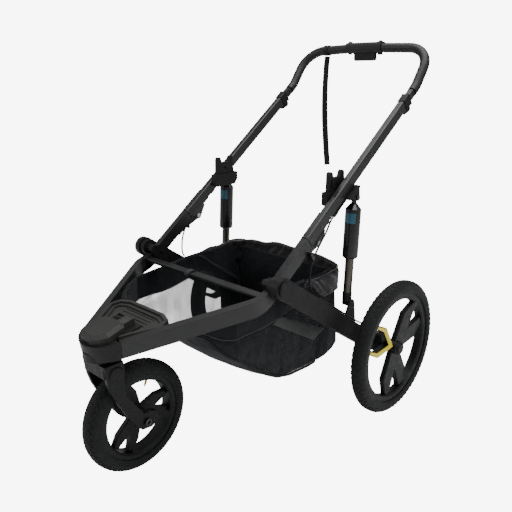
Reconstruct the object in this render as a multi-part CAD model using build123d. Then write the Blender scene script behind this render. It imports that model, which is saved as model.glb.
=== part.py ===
from build123d import *
import os
from math import atan2, cos, degrees, hypot, radians, sin, tan

# Three-wheeled jogging stroller chassis with a folding frame, sprung rear arms and a storage basket.
# +Z is up, the front points along -Y, and +X is the stroller's left side.
# Shapes are laid out with y = 0 at the rear axle and z = 0 on the floor. Each saved part is then
# shifted along Y, so that the origin ends up on the floor under the middle of the whole object.

# ---- clearances ----
running_gap = 0.05      # radial gap of a shaft in its bearing
side_gap = 0.4          # gap between moving faces
seat_gap = 0.2          # gap between a piece and its seat in the same body
cable_gap = 0.4         # radial gap around a cable

# ---- wheels ----
rear_wheel_radius = 200.0
rear_wheel_x = 336.0
rear_tyre_half_width = 23.0
rear_rim_radius = 167.0
rear_rim_hole = 147.0
front_wheel_radius = 149.0
front_wheel_y = -678.0
front_tyre_half_width = 28.0
front_rim_radius = 115.0
front_rim_hole = 97.0
tyre_wall = 4.0
spoke_thickness = 17.0
spoke_bulge = 35.0      # half the angle across a rear spoke pair at its widest
front_spoke_bulge = 31.0
loop_bulge = 27.0       # the same across the five-sided loop
rear_hub_radius = 20.0
front_hub_radius = 21.0
rear_axle_radius = 6.0
front_axle_radius = 6.0
rear_spoke_angles = (32.0, 271.5)
loop_angle = 152.0
bezel_thickness = 2.6
bezel_border = 2.4      # black edge left around the coloured trim
front_spoke_angles = (2.0, 118.0, 236.5)

# ---- lower frame ----
rail_width = 20.0
lower_rail_height = 40.0
rail_wall = 1.8
rail_start = (75.0, -748.0, 398.0)      # outer top edge at the nose
rail_v_lean = 31.6      # each front rail's angle from straight ahead, degrees
rail_rise = 9.4         # rise of the front rails, degrees
rail_rise_y = -437.0    # where the rails start to rise steeply
rail_plan_radius = 70.0
rail_rise_radius = 110.0
rail_seam = (244.0, -292.0, 575.0)      # outer front edge at the folding seam
upper_slope = 36.0                      # rise of the upper rails, degrees
seam_gap = 0.6

# ---- folding hinge ----
hinge_above_seam = 25.0
hinge_behind_rail = 14.0
hinge_disc_radius = 11.0
hinge_pin_radius = 4.0
hinge_tongue = 8.0

# ---- upper frame ----
upper_rail_depth = 31.0
upper_rail_length = 559.0
knuckle_length = 88.0
knuckle_wall = 1.5
gland_along = 114.0                     # place of the brake cable's gland, from the seam
gland_across = -upper_rail_depth - 6
gland_x = 240.0
gland_length = 16.0

# ---- rear arm, spring strut ----
arm_pivot = (-424.0, 487.0)
clip_centre = (-277.0, 521.0)
clip_foot = (-286.0, 534.0)
clip_x = (236.0, 254.0)
arm_inner_x = 261.0
arm_thickness = 20.0
arm_depth = 50.0
arm_wall = 2.5
arm_pivot_radius = 27.0
arm_pin_radius = 6.0
bush_wall = 3.0
spar_length = 210.0
spar_width = 14.0
spar_root = 24.0
spar_tip = 14.0
saddle_radius = 22.0
sleeve_radius = 11.0
strut_x = 247.5
strut_top = (-98.0, 651.0)
strut_bottom = (-118.0, 353.0)
strut_body_radius = 21.5
strut_bore_radius = 17.0
strut_rod_radius = 12.0
strut_eye_radius = 10.0
strut_cheek_radius = 9.5
strut_pin_radius = 4.0
strut_body_start = 32.0     # from the top pin to the cone's base
strut_body_end = 169.0      # from the top pin to the body's lower rim
cable_radius = 2.5
spring_wire_radius = 1.6

# ---- handlebar ----
bar_radius = 10.0
grip_radius = 14.5
leg_width = 16.0
leg_depth = 22.0
leg_inside = 170.0
leg_wall = 1.6
bar_cross_y = 298.0
bar_cross_z = 1042.0
bar_corner_z = 1034.0
bar_bend_above_rail = 61.0
bar_bend_radii = [90.0, 74.0]
bar_crown_radius = 300.0
housing_half_length = 66.0

# ---- fork ----
steer_y = -755.0
fork_inner_half = 36.0
blade_thickness = 13.0
crown_bottom = 306.0
crown_top = 338.0
stem_radius = 10.0
stem_top = 384.0
bearing_wall = 7.0

# ---- nose ----
rest_drop = 9.0         # footrest's underside below the rails' top edges
cap_back_y = 73.0       # rear end of the nose's raised core, from the rail start
cap_height = 22.0

# ---- basket ----
basket_half_width = 198.0
basket_wall = 2.5
basket_front_y = -600.0
basket_rear_y = -118.0


# ---- small helpers ----
def side_plane(x):
    """Plane at the given x whose drawing axes are the object's Y and Z."""
    return Plane(origin=(x, 0, 0), x_dir=(0, 1, 0), z_dir=(1, 0, 0))


def side_plate(points, low_x, high_x):
    """Polygon of (y, z) points, extruded along X."""
    return extrude(side_plane(low_x) * make_face(Polyline(*points, close=True)), high_x - low_x)


def side_disc(centre, radius, low_x, high_x):
    """Cylinder along X with its centre given as (y, z)."""
    face = side_plane(low_x) * (Pos(centre[0], centre[1]) * Circle(radius))
    return extrude(face, high_x - low_x)


def side_hull(discs, low_x, high_x):
    """Rounded plate around (y, z, radius) discs, extruded along X."""
    edges = ShapeList()
    for y, z, radius in discs:
        edges += (Pos(y, z) * Circle(radius)).edges()
    return extrude(side_plane(low_x) * make_hull(edges), high_x - low_x)


def both_sides(part):
    """The left piece and its mirror image on the right."""
    return [part, mirror(part, about=Plane.YZ)]


def polar(radius, angle):
    return (radius * cos(radians(angle)), radius * sin(radians(angle)))


def rail_frame(x, along=0.0, across=0.0):
    """Plane on an upper rail: local X runs up the rail, local Y out of its front face, local Z to -X."""
    up = (cos(radians(upper_slope)), sin(radians(upper_slope)))
    front = (-up[1], up[0])
    y = rail_seam[1] + along * up[0] + across * front[0]
    z = rail_seam[2] + along * up[1] + across * front[1]
    return Plane(origin=(x, y, z), x_dir=(0, up[0], up[1]), z_dir=(1, 0, 0))


def rail_point(along, across):
    """(y, z) of a point given along the upper rail from the seam, and out of its front face."""
    origin = rail_frame(0, along, across).origin
    return (origin.Y, origin.Z)


def rail_box(x_low, x_high, along_low, along_high, across_low, across_high):
    """Box whose sides follow the upper rail."""
    face = Pos((along_low + along_high) / 2, (across_low + across_high) / 2) * Rectangle(
        along_high - along_low, across_high - across_low
    )
    return extrude(rail_frame(x_low) * face, x_high - x_low)


parts = {}


def keep(name, pieces):
    """Files the pieces of one named sub-part."""
    parts[name] = pieces if isinstance(pieces, list) else [pieces]


# ---- places worked out from the sizes above ----
rail_centre_x = rail_seam[0] - rail_width / 2
hinge_across = -(upper_rail_depth + hinge_behind_rail)
hinge_axis = rail_point(hinge_above_seam, hinge_across)
plan_lean = tan(radians(rail_v_lean))
rear_axle = (0.0, rear_wheel_radius)
front_axle = (front_wheel_y, front_wheel_radius)
arm_outer_x = arm_inner_x + arm_thickness


# ---- route of the brake cables ----
def arc_radii(points):
    """Largest even radii for the corners of a cable's route."""
    radii = []
    for before, here, after in zip(points, points[1:], points[2:]):
        into = Vector(*here) - Vector(*before)
        out = Vector(*after) - Vector(*here)
        half_turn = radians(into.get_angle(out)) / 2
        radii.append(0.45 * min(into.length, out.length) / tan(half_turn))
    return radii


def cable(points, radius):
    line = FilletPolyline(*points, radius=arc_radii(points))
    start = Vector(*points[0])
    face = Plane(origin=start, z_dir=Vector(*points[1]) - start) * Circle(radius)
    return sweep(face, path=line)


gland_start = rail_point(gland_along + 8, gland_across)
gland_exit = rail_point(gland_along - 16, gland_across)
hinge_cable_route = [
    (gland_x, gland_start[0], gland_start[1]), (gland_x, gland_exit[0], gland_exit[1]),
    (249, -222, 578), (251, -252, 552), (251, clip_centre[0], clip_centre[1]), (252, -292, 490),
    (254, -295, 456), (259, -290, 434), (266, -278, 421),
]


# ================= lower frame =================
def band(points, radii, low, high):
    """Face between two offsets of a bent 2-D line, to its left side."""
    rows = []
    for distance in (low, high):
        row = []
        for i, (x, y) in enumerate(points):
            before = points[max(i - 1, 0)]
            after = points[min(i + 1, len(points) - 1)]
            into = Vector(x - before[0], y - before[1]) if i else Vector(after[0] - x, after[1] - y)
            out = Vector(after[0] - x, after[1] - y) if i < len(points) - 1 else into
            into, out = into.normalized(), out.normalized()
            mitre = Vector(-into.Y - out.Y, into.X + out.X)
            scale = distance * 2 / mitre.length ** 2
            row.append((x + mitre.X * scale, y + mitre.Y * scale))
        rows.append((row, distance))
    sides = []
    for row, distance in rows:
        corner_radii = []
        for i, radius in enumerate(radii):
            a, b, c = points[i], points[i + 1], points[i + 2]
            left_turn = (b[0] - a[0]) * (c[1] - b[1]) - (b[1] - a[1]) * (c[0] - b[0]) > 0
            corner_radii.append(radius - distance if left_turn else radius + distance)
        sides.append(FilletPolyline(*row, radius=corner_radii))
    ends = [Line(sides[0] @ 0, sides[1] @ 0), Line(sides[0] @ 1, sides[1] @ 1)]
    return make_face(sides[0].edges() + sides[1].edges() + ShapeList(ends))


def lower_rail(shrink):
    """Bent box tube from the nose to the folding seam, upright in section all along."""
    plan_line = [
        (rail_start[0] - 4 * plan_lean, rail_start[1] - 4),
        (rail_seam[0], rail_start[1] + (rail_seam[0] - rail_start[0]) / plan_lean),
        (rail_seam[0], rail_seam[1] + 60),
    ]
    slope = tan(radians(upper_slope))
    side_line = [
        (rail_start[1] - 20, rail_start[2] - 20 * tan(radians(rail_rise))),
        (rail_rise_y, rail_seam[2] - (rail_seam[1] - rail_rise_y) * slope),
        (rail_seam[1] + 60, rail_seam[2] + 60 * slope),
    ]
    plan_face = band(plan_line, [rail_plan_radius], shrink, rail_width - shrink)
    low = lower_rail_height - shrink
    top_line = FilletPolyline(*[(y, z - shrink) for y, z in side_line], radius=rail_rise_radius)
    low_line = FilletPolyline(*[(y, z - low) for y, z in side_line], radius=rail_rise_radius)
    ends = [Line(top_line @ 0, low_line @ 0), Line(top_line @ 1, low_line @ 1)]
    side_face = make_face(top_line.edges() + low_line.edges() + ShapeList(ends))
    return extrude(plan_face, 900) & extrude(side_plane(0) * side_face, 400)


above_seam = rail_box(rail_centre_x - 40, rail_centre_x + 40, -seam_gap, 120, -80, 60)
before_start = Pos(0, rail_start[1] - 50) * Box(600, 100, 2000)
lower_rail_envelope = lower_rail(0.0) - above_seam - before_start
core = lower_rail(rail_wall)


def hinge_tongue_plate():
    """Flat lug on the lower rail that carries the folding pin."""
    low_x = rail_centre_x - hinge_tongue / 2
    edges = ShapeList()
    edges += (Pos(hinge_above_seam, hinge_across) * Circle(hinge_disc_radius)).edges()
    edges += (Pos(-34, -upper_rail_depth - 4) * Circle(7)).edges()
    plate = extrude(rail_frame(low_x) * make_hull(edges), hinge_tongue)
    foot = rail_box(low_x, low_x + hinge_tongue, -64, -14, -upper_rail_depth - 10, -upper_rail_depth + 4)
    clear_low = -upper_rail_depth - knuckle_wall - 0.8
    clear = rail_box(low_x - 1, low_x + hinge_tongue + 1, -seam_gap, 120, clear_low, 20)
    hole = side_disc(hinge_axis, hinge_pin_radius + running_gap, low_x - 1, low_x + hinge_tongue + 1)
    return plate + (foot - clear) - clear - hole


def cable_clip():
    """Small lug on the rail's rear side that guides the brake cable."""
    body = side_hull([(*clip_centre, 5), (*clip_foot, 4)], *clip_x)
    return body - cable(hinge_cable_route, cable_radius + cable_gap)


left_lower_rail = (lower_rail_envelope - core) + (hinge_tongue_plate() - core)
left_lower_rail += cable_clip() - core
keep("left_lower_rail", left_lower_rail)
keep("right_lower_rail", mirror(left_lower_rail, about=Plane.YZ))

# The nose's pieces are laid out on a plane that holds the top edges of both front rails.
nose_plane = Plane(
    origin=(0, rail_start[1], rail_start[2]),
    x_dir=(1, 0, 0),
    z_dir=(0, -sin(radians(rail_rise)), cos(radians(rail_rise))),
)
inner_half_start = rail_start[0] - rail_width / cos(radians(rail_v_lean))


def rail_inner_half(y):
    """Half the distance between the front rails' inner faces, y measured up the rails from their start."""
    return inner_half_start + y * cos(radians(rail_rise)) * plan_lean


def rail_room():
    """Upright space between the front rails' inner faces, less the seat gap."""
    gap = seat_gap / cos(radians(rail_v_lean))
    near, far = rail_start[1] - 20, rail_start[1] + 160
    near_half = inner_half_start + (near - rail_start[1]) * plan_lean - gap
    far_half = inner_half_start + (far - rail_start[1]) * plan_lean - gap
    corners = [(-near_half, near), (near_half, near), (far_half, far), (-far_half, far)]
    return extrude(make_face(Polyline(*corners, close=True)), 900)


def nose_outline():
    """Rounded tip that carries on the outer faces of the front rails."""
    half = rail_start[0]
    tip = -55.0
    back = 12.0
    return make_face(
        [
            Polyline((-half, back), (-half, -1.0)).edge(),
            ThreePointArc((-half, -1.0), (-half * 0.66, tip * 0.66), (0, tip)).edge(),
            ThreePointArc((0, tip), (half * 0.66, tip * 0.66), (half, -1.0)).edge(),
            Polyline((half, -1.0), (half, back)).edge(),
            Polyline((half, back), (-half, back)).edge(),
        ]
    )


def nose_housing():
    """Front casting between the rails, with the bearing seat for the fork's stem."""
    half = inner_half_start
    tip = extrude(nose_plane * nose_outline(), -lower_rail_height - 1)
    tip -= Pos(0, rail_start[1] + 50 - seat_gap) * Box(600, 100, 2000)
    core_face = Pos(0, (cap_back_y - 4) / 2) * Rectangle(2 * half, cap_back_y + 4)
    core = extrude(nose_plane * core_face, -lower_rail_height + 6)
    wedge_plane = Plane(origin=nose_plane.origin - nose_plane.z_dir * (rest_drop + seat_gap),
                        x_dir=(1, 0, 0), z_dir=nose_plane.z_dir)
    back_y = 62.0
    wedge_points = [
        (-rail_inner_half(0.6), 0.6),
        (rail_inner_half(0.6), 0.6),
        (rail_inner_half(back_y), back_y),
        (-rail_inner_half(back_y), back_y),
    ]
    wedge = extrude(wedge_plane * make_face(Polyline(*wedge_points, close=True)), -lower_rail_height + 15)
    cone_low = crown_top + 2
    cone_high = 366.0
    cone = Pos(0, steer_y, (cone_low + cone_high) / 2) * Cylinder(45, cone_high - cone_low)
    seat = stem_radius + running_gap + bearing_wall + 0.05
    bore_low = cone_low - 1
    bore_high = stem_top + 3
    bore = Pos(0, steer_y, (bore_low + bore_high) / 2) * Cylinder(seat, bore_high - bore_low)
    between = (core + wedge) & rail_room()
    return tip + between + chamfer(cone.edges().sort_by(Axis.Z)[0], 6) - bore


keep("nose_housing", nose_housing())
bearing_ring = Cylinder(stem_radius + running_gap + bearing_wall, 12) - Cylinder(
    stem_radius + running_gap, 12
)
keep(
    "steering_bearings",
    [Pos(0, steer_y, crown_top + 9) * bearing_ring, Pos(0, steer_y, stem_top - 8) * bearing_ring],
)

# Cap over the nose with a window for the swivel lock.
lock_length = 15.0
lock_width = 22.0
lock_travel = 7.0
lock_y = 49.0


def nose_cap():
    height = cap_height
    base = seat_gap
    outline = [
        (-50, -14), (-40, -33), (-20, -45), (20, -45), (40, -33), (50, -14),
        (44, 34), (30, 42), (30, cap_back_y - 1), (-30, cap_back_y - 1), (-30, 42), (-44, 34),
    ]
    face = nose_plane * make_face(Polyline(*outline, close=True))
    cap = extrude(face, height)
    cap = cap.moved(Location(nose_plane.z_dir * base))
    top = cap.faces().sort_by(Axis((0, 0, 0), tuple(nose_plane.z_dir)))[-1]
    cap = chamfer(top.edges(), 7.5, 10.0)
    plane = Plane(origin=nose_plane.origin + nose_plane.z_dir * (base + height), x_dir=(1, 0, 0),
                  z_dir=nose_plane.z_dir)
    window = extrude(plane * (Pos(0, lock_y) * Rectangle(lock_width + 1, lock_length + lock_travel + 1)), -5)
    return cap - window, plane


cap, cap_top = nose_cap()
keep("nose_cap", cap)
lock_base = Pos(0, lock_y - lock_travel / 2) * RectangleRounded(lock_width, lock_length, 2)
lock = extrude(cap_top * lock_base, -5 + seat_gap)
lock += extrude(cap_top * (Pos(0, lock_y - lock_travel / 2) * RectangleRounded(lock_width - 6, 5, 1.5)), 2)
keep("swivel_lock", lock)


# Ribbed footrest between the front rails.
def footrest():
    front_y, corner_y, back_y = 8.0, 93.0, 134.0
    thickness = 6.0
    outline = [
        (-rail_inner_half(front_y), front_y),
        (rail_inner_half(front_y), front_y),
        (rail_inner_half(corner_y), corner_y),
        (rail_inner_half(corner_y) - 11, corner_y + 28),
        (64, back_y),
        (-64, back_y),
        (-rail_inner_half(corner_y) + 11, corner_y + 28),
        (-rail_inner_half(corner_y), corner_y),
    ]
    face = make_face(Polyline(*outline, close=True))
    plate_plane = Plane(origin=nose_plane.origin - nose_plane.z_dir * rest_drop, x_dir=(1, 0, 0),
                        z_dir=nose_plane.z_dir)
    plate = extrude(plate_plane * face, thickness)
    rim = extrude(plate_plane * face, thickness + 9) - extrude(plate_plane * offset(face, -9), thickness + 9)
    step = extrude(plate_plane * offset(face, -9.5), thickness + 4) - extrude(
        plate_plane * offset(face, -19), thickness + 4
    )
    top_plane = Plane(origin=plate_plane.origin + plate_plane.z_dir * thickness, x_dir=(1, 0, 0),
                      z_dir=nose_plane.z_dir)
    body = plate + rim + step
    for i in range(6):
        y = 108.0 - 11.0 * i
        half = min(58.0, rail_inner_half(y) - 32)
        body -= extrude(top_plane * (Pos(0, y) * RectangleRounded(2 * half, 3, 1.4)), -1.8)
    cap_room = extrude(plate_plane * (Pos(0, 0) * Rectangle(104, 2 * cap_back_y + 1)), 60)
    return (body - cap_room) & rail_room()


keep("footrest", footrest())

# Flat bar that ties the two rails together just before they rise.
cross_bar_y = -440.0
cross_bar_z = 458.0
cross_bar_size = (24.0, 10.0)
cross_bar_length = 2 * (rail_centre_x - rail_width / 2) - 0.8
keep(
    "cross_bar",
    Pos(0, cross_bar_y, cross_bar_z)
    * extrude(Plane.YZ * RectangleRounded(*cross_bar_size, 3), cross_bar_length / 2, both=True),
)


# ---- pivot brackets of the rear arms ----
bracket_thickness = 7.0
bracket_outer_x = rail_centre_x - rail_width / 2 - seat_gap
bracket_inner_x = bracket_outer_x - bracket_thickness
bracket_screws = ((-398.0, 474.0), (-371.0, 455.0), (-345.0, 437.0))
screw_radius = 3.0


def pivot_bracket():
    """Plate inside the rail with a saddle over it that carries the arm's pivot."""
    plate = side_hull([(-410, 477, 20), (-345, 437, 16)], bracket_inner_x, bracket_outer_x)
    saddle = side_disc(arm_pivot, sleeve_radius, bracket_inner_x, rail_seam[0] + seat_gap)
    saddle += side_disc(arm_pivot, saddle_radius, rail_seam[0] + seat_gap, arm_inner_x - side_gap)
    hole = side_disc(arm_pivot, arm_pin_radius + running_gap, bracket_inner_x - 1, arm_inner_x + 1)
    body = plate + (saddle - lower_rail_envelope) - hole
    for y, z in bracket_screws:
        body -= side_disc((y, z), screw_radius, bracket_inner_x - 1, bracket_outer_x + 1)
    return body


def bracket_screw(centre):
    head = side_disc(centre, 5.0, bracket_inner_x - 3.2, bracket_inner_x)
    head -= extrude(side_plane(bracket_inner_x - 3.2) * (Pos(*centre) * RegularPolygon(2.4, 6)), 1.8)
    return head + side_disc(centre, screw_radius - running_gap, bracket_inner_x, bracket_outer_x - 0.5)


def pivot_pin():
    """Pin through bracket and arm, with its round cover on the outside of the arm."""
    shank = side_disc(arm_pivot, arm_pin_radius, bracket_inner_x + 1, arm_outer_x + 1)
    cover = side_disc(arm_pivot, 19, arm_outer_x + side_gap, arm_outer_x + side_gap + 5)
    cover = chamfer(cover.edges().sort_by(Axis.X)[-1], 2.0)
    return shank + cover


keep("pivot_brackets", both_sides(pivot_bracket()))
keep(
    "bracket_screws",
    [piece for centre in bracket_screws for piece in both_sides(bracket_screw(centre))],
)
keep("pivot_pins", both_sides(pivot_pin()))


# ================= basket =================
def basket():
    """Open storage tub of cloth and mesh that hangs from the rails and the cross bar."""
    bar_low = cross_bar_z - cross_bar_size[1] / 2 - 0.3
    notch = cross_bar_size[0] / 2 + 3
    side_outline = [
        (basket_front_y, 372), (basket_front_y, 392), (-543, 412), (cross_bar_y - notch - 12, 432),
        (cross_bar_y - notch, bar_low), (cross_bar_y + notch, bar_low), (-290, 448),
        (basket_rear_y, 460), (basket_rear_y + 14, 330), (-98, 215), (-130, 182), (-200, 172), (-300, 170),
        (-400, 226), (-500, 284), (-570, 340),
    ]
    cavity_outline = [
        (basket_front_y + basket_wall, 376), (basket_front_y + basket_wall, 600),
        (basket_rear_y - basket_wall, 600), (basket_rear_y + 14 - basket_wall, 331),
        (-98 - basket_wall, 217), (-131, 182 + basket_wall), (-201, 172 + basket_wall),
        (-299, 170 + basket_wall), (-398, 226 + basket_wall),
        (-498, 284 + basket_wall), (-568, 340 + basket_wall),
    ]
    half_front = inner_half_start + (basket_front_y - rail_start[1]) * plan_lean - 1.5
    bend_y = basket_front_y + (basket_half_width - half_front) / plan_lean

    def plan(shrink):
        half = basket_half_width - shrink
        points = [
            (-half_front + shrink, -700), (half_front - shrink, -700), (half_front - shrink, basket_front_y),
            (half, bend_y), (half, 0), (-half, 0), (-half, bend_y), (-half_front + shrink, basket_front_y),
        ]
        return extrude(make_face(Polyline(*points, close=True)), 700)

    outer = side_plate(side_outline, -300, 300) & plan(0)
    cavity = side_plate(cavity_outline, -300, 300) & plan(basket_wall)
    return outer - cavity


keep("basket", basket())


# ================= upper frame =================
rail_top = upper_rail_length
up_the_rail = Axis((0, 0, 0), (0, cos(radians(upper_slope)), sin(radians(upper_slope))))


def upper_rail():
    low_x = rail_centre_x - rail_width / 2
    face = Pos(rail_top / 2, -upper_rail_depth / 2) * Rectangle(rail_top, upper_rail_depth)
    outer = extrude(rail_frame(low_x) * face, rail_width)
    outer = fillet(outer.edges().filter_by(up_the_rail), 4)
    bore = Rectangle(rail_top + 2, upper_rail_depth - 2 * rail_wall)
    bore = Pos(rail_top / 2, -upper_rail_depth / 2) * bore
    inner = extrude(rail_frame(low_x + rail_wall) * bore, rail_width - 2 * rail_wall)
    return outer - inner


left_upper_rail = upper_rail()
keep("left_upper_rail", left_upper_rail)
keep("right_upper_rail", mirror(left_upper_rail, about=Plane.YZ))


def rail_sleeve(along_low, along_high, wall):
    """Square sleeve around the upper rail."""
    low_x = rail_centre_x - rail_width / 2
    high_x = low_x + rail_width
    outer = rail_box(low_x - wall, high_x + wall, along_low, along_high, -upper_rail_depth - wall, wall)
    outer = fillet(outer.edges().filter_by(up_the_rail), 4)
    gap = 0.05
    inner = rail_box(low_x - gap, high_x + gap, along_low - 1, along_high + 1, -upper_rail_depth - gap, gap)
    return outer - inner


cheek_thickness = 5.0
cheek_gap = hinge_tongue / 2 + side_gap


def hinge_knuckle():
    """Sleeve on the rail's lower end with two cheeks around the hinge tongue."""
    body = rail_sleeve(0.6, knuckle_length, knuckle_wall)
    edges = (Pos(hinge_above_seam, hinge_across) * Circle(hinge_disc_radius)).edges()
    edges += (Pos(62, -upper_rail_depth - 4) * Circle(3)).edges()
    edges += (Pos(12, -upper_rail_depth - 4) * Circle(3)).edges()
    outline = make_hull(edges)
    for low_x in (rail_centre_x + cheek_gap, rail_centre_x - cheek_gap - cheek_thickness):
        cheek = extrude(rail_frame(low_x) * outline, cheek_thickness)
        body += cheek - rail_box(low_x - 1, low_x + 9, -20, 90, -upper_rail_depth - 0.05, 20)
    hole = side_disc(hinge_axis, hinge_pin_radius + 0.02, rail_centre_x - 14, rail_centre_x + 14)
    return body - hole


def fold_pin():
    half = cheek_gap + cheek_thickness
    pin = side_disc(hinge_axis, hinge_pin_radius, rail_centre_x - half, rail_centre_x + half)
    for low_x in (rail_centre_x + half, rail_centre_x - half - 2.4):
        head = side_disc(hinge_axis, 7.5, low_x, low_x + 2.4)
        pin += head
    return pin


keep("hinge_knuckles", both_sides(hinge_knuckle()))
keep("fold_pins", both_sides(fold_pin()))

# ---- spring strut brackets on the upper rails ----
eye_half = 7.0
strut_cheek = 4.0
strut_reach = hypot(strut_top[0] - rail_seam[1], strut_top[1] - rail_seam[2])
strut_angle = degrees(atan2(strut_top[1] - rail_seam[2], strut_top[0] - rail_seam[1])) - upper_slope
strut_along = strut_reach * cos(radians(strut_angle))
strut_across = strut_reach * sin(radians(strut_angle))


def strut_bracket():
    """Fork behind the upper rail that holds the strut's top eye."""
    rear = -upper_rail_depth - seat_gap
    edges = (Pos(strut_along, strut_across) * Circle(strut_cheek_radius)).edges()
    edges += (Pos(strut_along - 20, rear - 4) * Circle(3.5)).edges()
    edges += (Pos(strut_along + 18, rear - 4) * Circle(3.5)).edges()
    outline = make_hull(edges)
    inner_x = strut_x - eye_half - side_gap - strut_cheek
    outer_x = strut_x + eye_half + side_gap
    body = extrude(rail_frame(inner_x) * outline, strut_cheek)
    body += extrude(rail_frame(outer_x) * outline, strut_cheek)
    body += rail_box(inner_x, outer_x + strut_cheek, strut_along - 27, strut_along + 25, rear - 6, rear)
    body += rail_box(inner_x, inner_x + 9, gland_along + 8, strut_along - 26, rear - 6, rear)
    start = rail_point(gland_along, gland_across)
    gland_plane = Plane(origin=(gland_x, start[0], start[1]), x_dir=(1, 0, 0), z_dir=rail_frame(0).x_dir)
    body += extrude(gland_plane * Circle(5), gland_length)
    body -= extrude(gland_plane * Circle(cable_radius + cable_gap), gland_length - 6)
    return body - side_disc(strut_top, strut_pin_radius + 0.02, inner_x - 1, outer_x + 9)


def strut_pin():
    low_x = strut_x - eye_half - side_gap - strut_cheek
    high_x = strut_x + eye_half + side_gap + strut_cheek
    pin = side_disc(strut_top, strut_pin_radius, low_x, high_x)
    return pin + side_disc(strut_top, 7, high_x, high_x + 3) + side_disc(strut_top, 7, low_x - 2.4, low_x)


keep("strut_brackets", both_sides(strut_bracket()))
keep("strut_pins", both_sides(strut_pin()))

# ---- seat adapters ----
adapter_inner_x = 205.0
adapter_outer_x = rail_centre_x - rail_width / 2 - seat_gap
post_inner_x = 208.5
post_outer_x = 219.5
adapter_hole = (-142.0, 690.0)
adapter_hole_radius = 4.0


def adapter_post():
    """Forked post that a seat or carry cot clips onto."""
    body = side_plate(
        [
            (-177, 644), (-174, 716), (-158, 716), (-154, 707),
            (-128, 707), (-124, 716), (-108, 716), (-103, 644),
        ],
        post_inner_x, post_outer_x,
    )
    body += side_disc((-166, 716), 8, post_inner_x, post_outer_x)
    body += side_disc((-116, 716), 8, post_inner_x, post_outer_x)
    body -= side_disc(adapter_hole, adapter_hole_radius, post_inner_x - 1, post_outer_x + 1)
    groove = [(-171, 680), (-168, 704), (-161, 704), (-161, 680)]
    body -= side_plate(groove, post_outer_x - 2, post_outer_x + 1)
    return body


def adapter_socket():
    """Pocket on the inner face of the rail that holds the post."""
    body = side_plate([(-187, 638), (-187, 672), (-92, 672), (-92, 650), (-104, 634), (-178, 634)],
                      adapter_inner_x, adapter_outer_x)
    pocket = side_plate([(-177.2, 643.8), (-175.6, 700), (-104.5, 700), (-102.8, 643.8)],
                        post_inner_x - seat_gap, post_outer_x + seat_gap)
    return body - pocket


keep("adapter_sockets", both_sides(adapter_socket()))
keep("seat_adapters", both_sides(adapter_post()))

# ---- rivets and top collars ----
rivet_places = ((58.0, knuckle_wall), (330.0, 0.0), (500.0, 0.0))


def rivet(along, wall):
    centre = rail_point(along, -upper_rail_depth / 2)
    low_x = rail_centre_x + rail_width / 2 + wall
    head = side_disc(centre, 4.5, low_x + 0.05, low_x + 1.8)
    return chamfer(head.edges().sort_by(Axis.X)[-1], 1.0)


keep("rail_rivets", [piece for place in rivet_places for piece in both_sides(rivet(*place))])

collar_wall = 2.0
hook_thickness = 9.0


def top_collar():
    """Guide collar on the rail's top end with a hook underneath."""
    body = rail_sleeve(rail_top - 26, rail_top + 3, collar_wall)
    low_x = rail_centre_x - rail_width / 2 - collar_wall
    lid = rail_box(low_x, low_x + rail_width + 2 * collar_wall, rail_top + 0.2, rail_top + 4,
                   -upper_rail_depth - collar_wall, collar_wall)
    body += lid
    edges = (Pos(rail_top - 30, -upper_rail_depth - 5) * Circle(7)).edges()
    edges += (Pos(rail_top - 8, -upper_rail_depth - 9) * Circle(9)).edges()
    hook_x = rail_centre_x - hook_thickness / 2
    hook = extrude(rail_frame(hook_x) * make_hull(edges), hook_thickness)
    hook -= rail_box(hook_x - 1, hook_x + 12, rail_top - 60, rail_top + 20, -upper_rail_depth - 0.05, 10)
    body += hook
    body -= extrude(
        rail_frame(hook_x - 1) * (Pos(rail_top - 8, -upper_rail_depth - 9) * Circle(4)), hook_thickness + 2
    )
    guide = Pos(rail_top, -upper_rail_depth / 2) * Rectangle(40, leg_depth + 2 * side_gap)
    guide_x = rail_centre_x - leg_width / 2 - side_gap
    return body - extrude(rail_frame(guide_x) * guide, leg_width + 2 * side_gap)


keep("top_collars", both_sides(top_collar()))


# ================= handlebar =================
def bar_places(start_along):
    """Corners of half the bar's centre line, from a place along the rail up to the crossbar."""
    start = rail_point(start_along, -upper_rail_depth / 2)
    bend = rail_point(rail_top + bar_bend_above_rail, -upper_rail_depth / 2)
    return [
        (rail_centre_x, start[0], start[1]),
        (rail_centre_x, bend[0], bend[1]),
        (rail_centre_x, bar_cross_y, bar_corner_z),
    ]


def along_bar(line, start_along, face):
    """Sweeps a round face along one of the bar's centre lines."""
    plane = rail_frame(rail_centre_x, start_along, -upper_rail_depth / 2)
    return sweep(Plane(origin=plane.origin, x_dir=(1, 0, 0), z_dir=plane.x_dir) * face, path=line)


def whole_bar(face):
    """Sweeps a face along the whole bar, from rail to rail."""
    left = bar_places(rail_top + 26)
    right = [(-x, y, z) for x, y, z in left[::-1]]
    points = left + [(0, bar_cross_y, bar_cross_z)] + right
    line = FilletPolyline(*points, radius=[*bar_bend_radii, bar_crown_radius, *bar_bend_radii[::-1]])
    return along_bar(line, rail_top + 26, face)


def grip_half():
    """Leather sleeve on one half of the bar, up to the central housing."""
    end_x = housing_half_length + 0.8
    lift = (bar_cross_z - bar_corner_z) * (rail_centre_x - end_x) / rail_centre_x
    points = bar_places(rail_top + 36) + [(end_x, bar_cross_y, bar_corner_z + lift)]
    line = FilletPolyline(*points, radius=bar_bend_radii)
    return along_bar(line, rail_top + 36, Circle(grip_radius) - Circle(bar_radius + 0.05))


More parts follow.
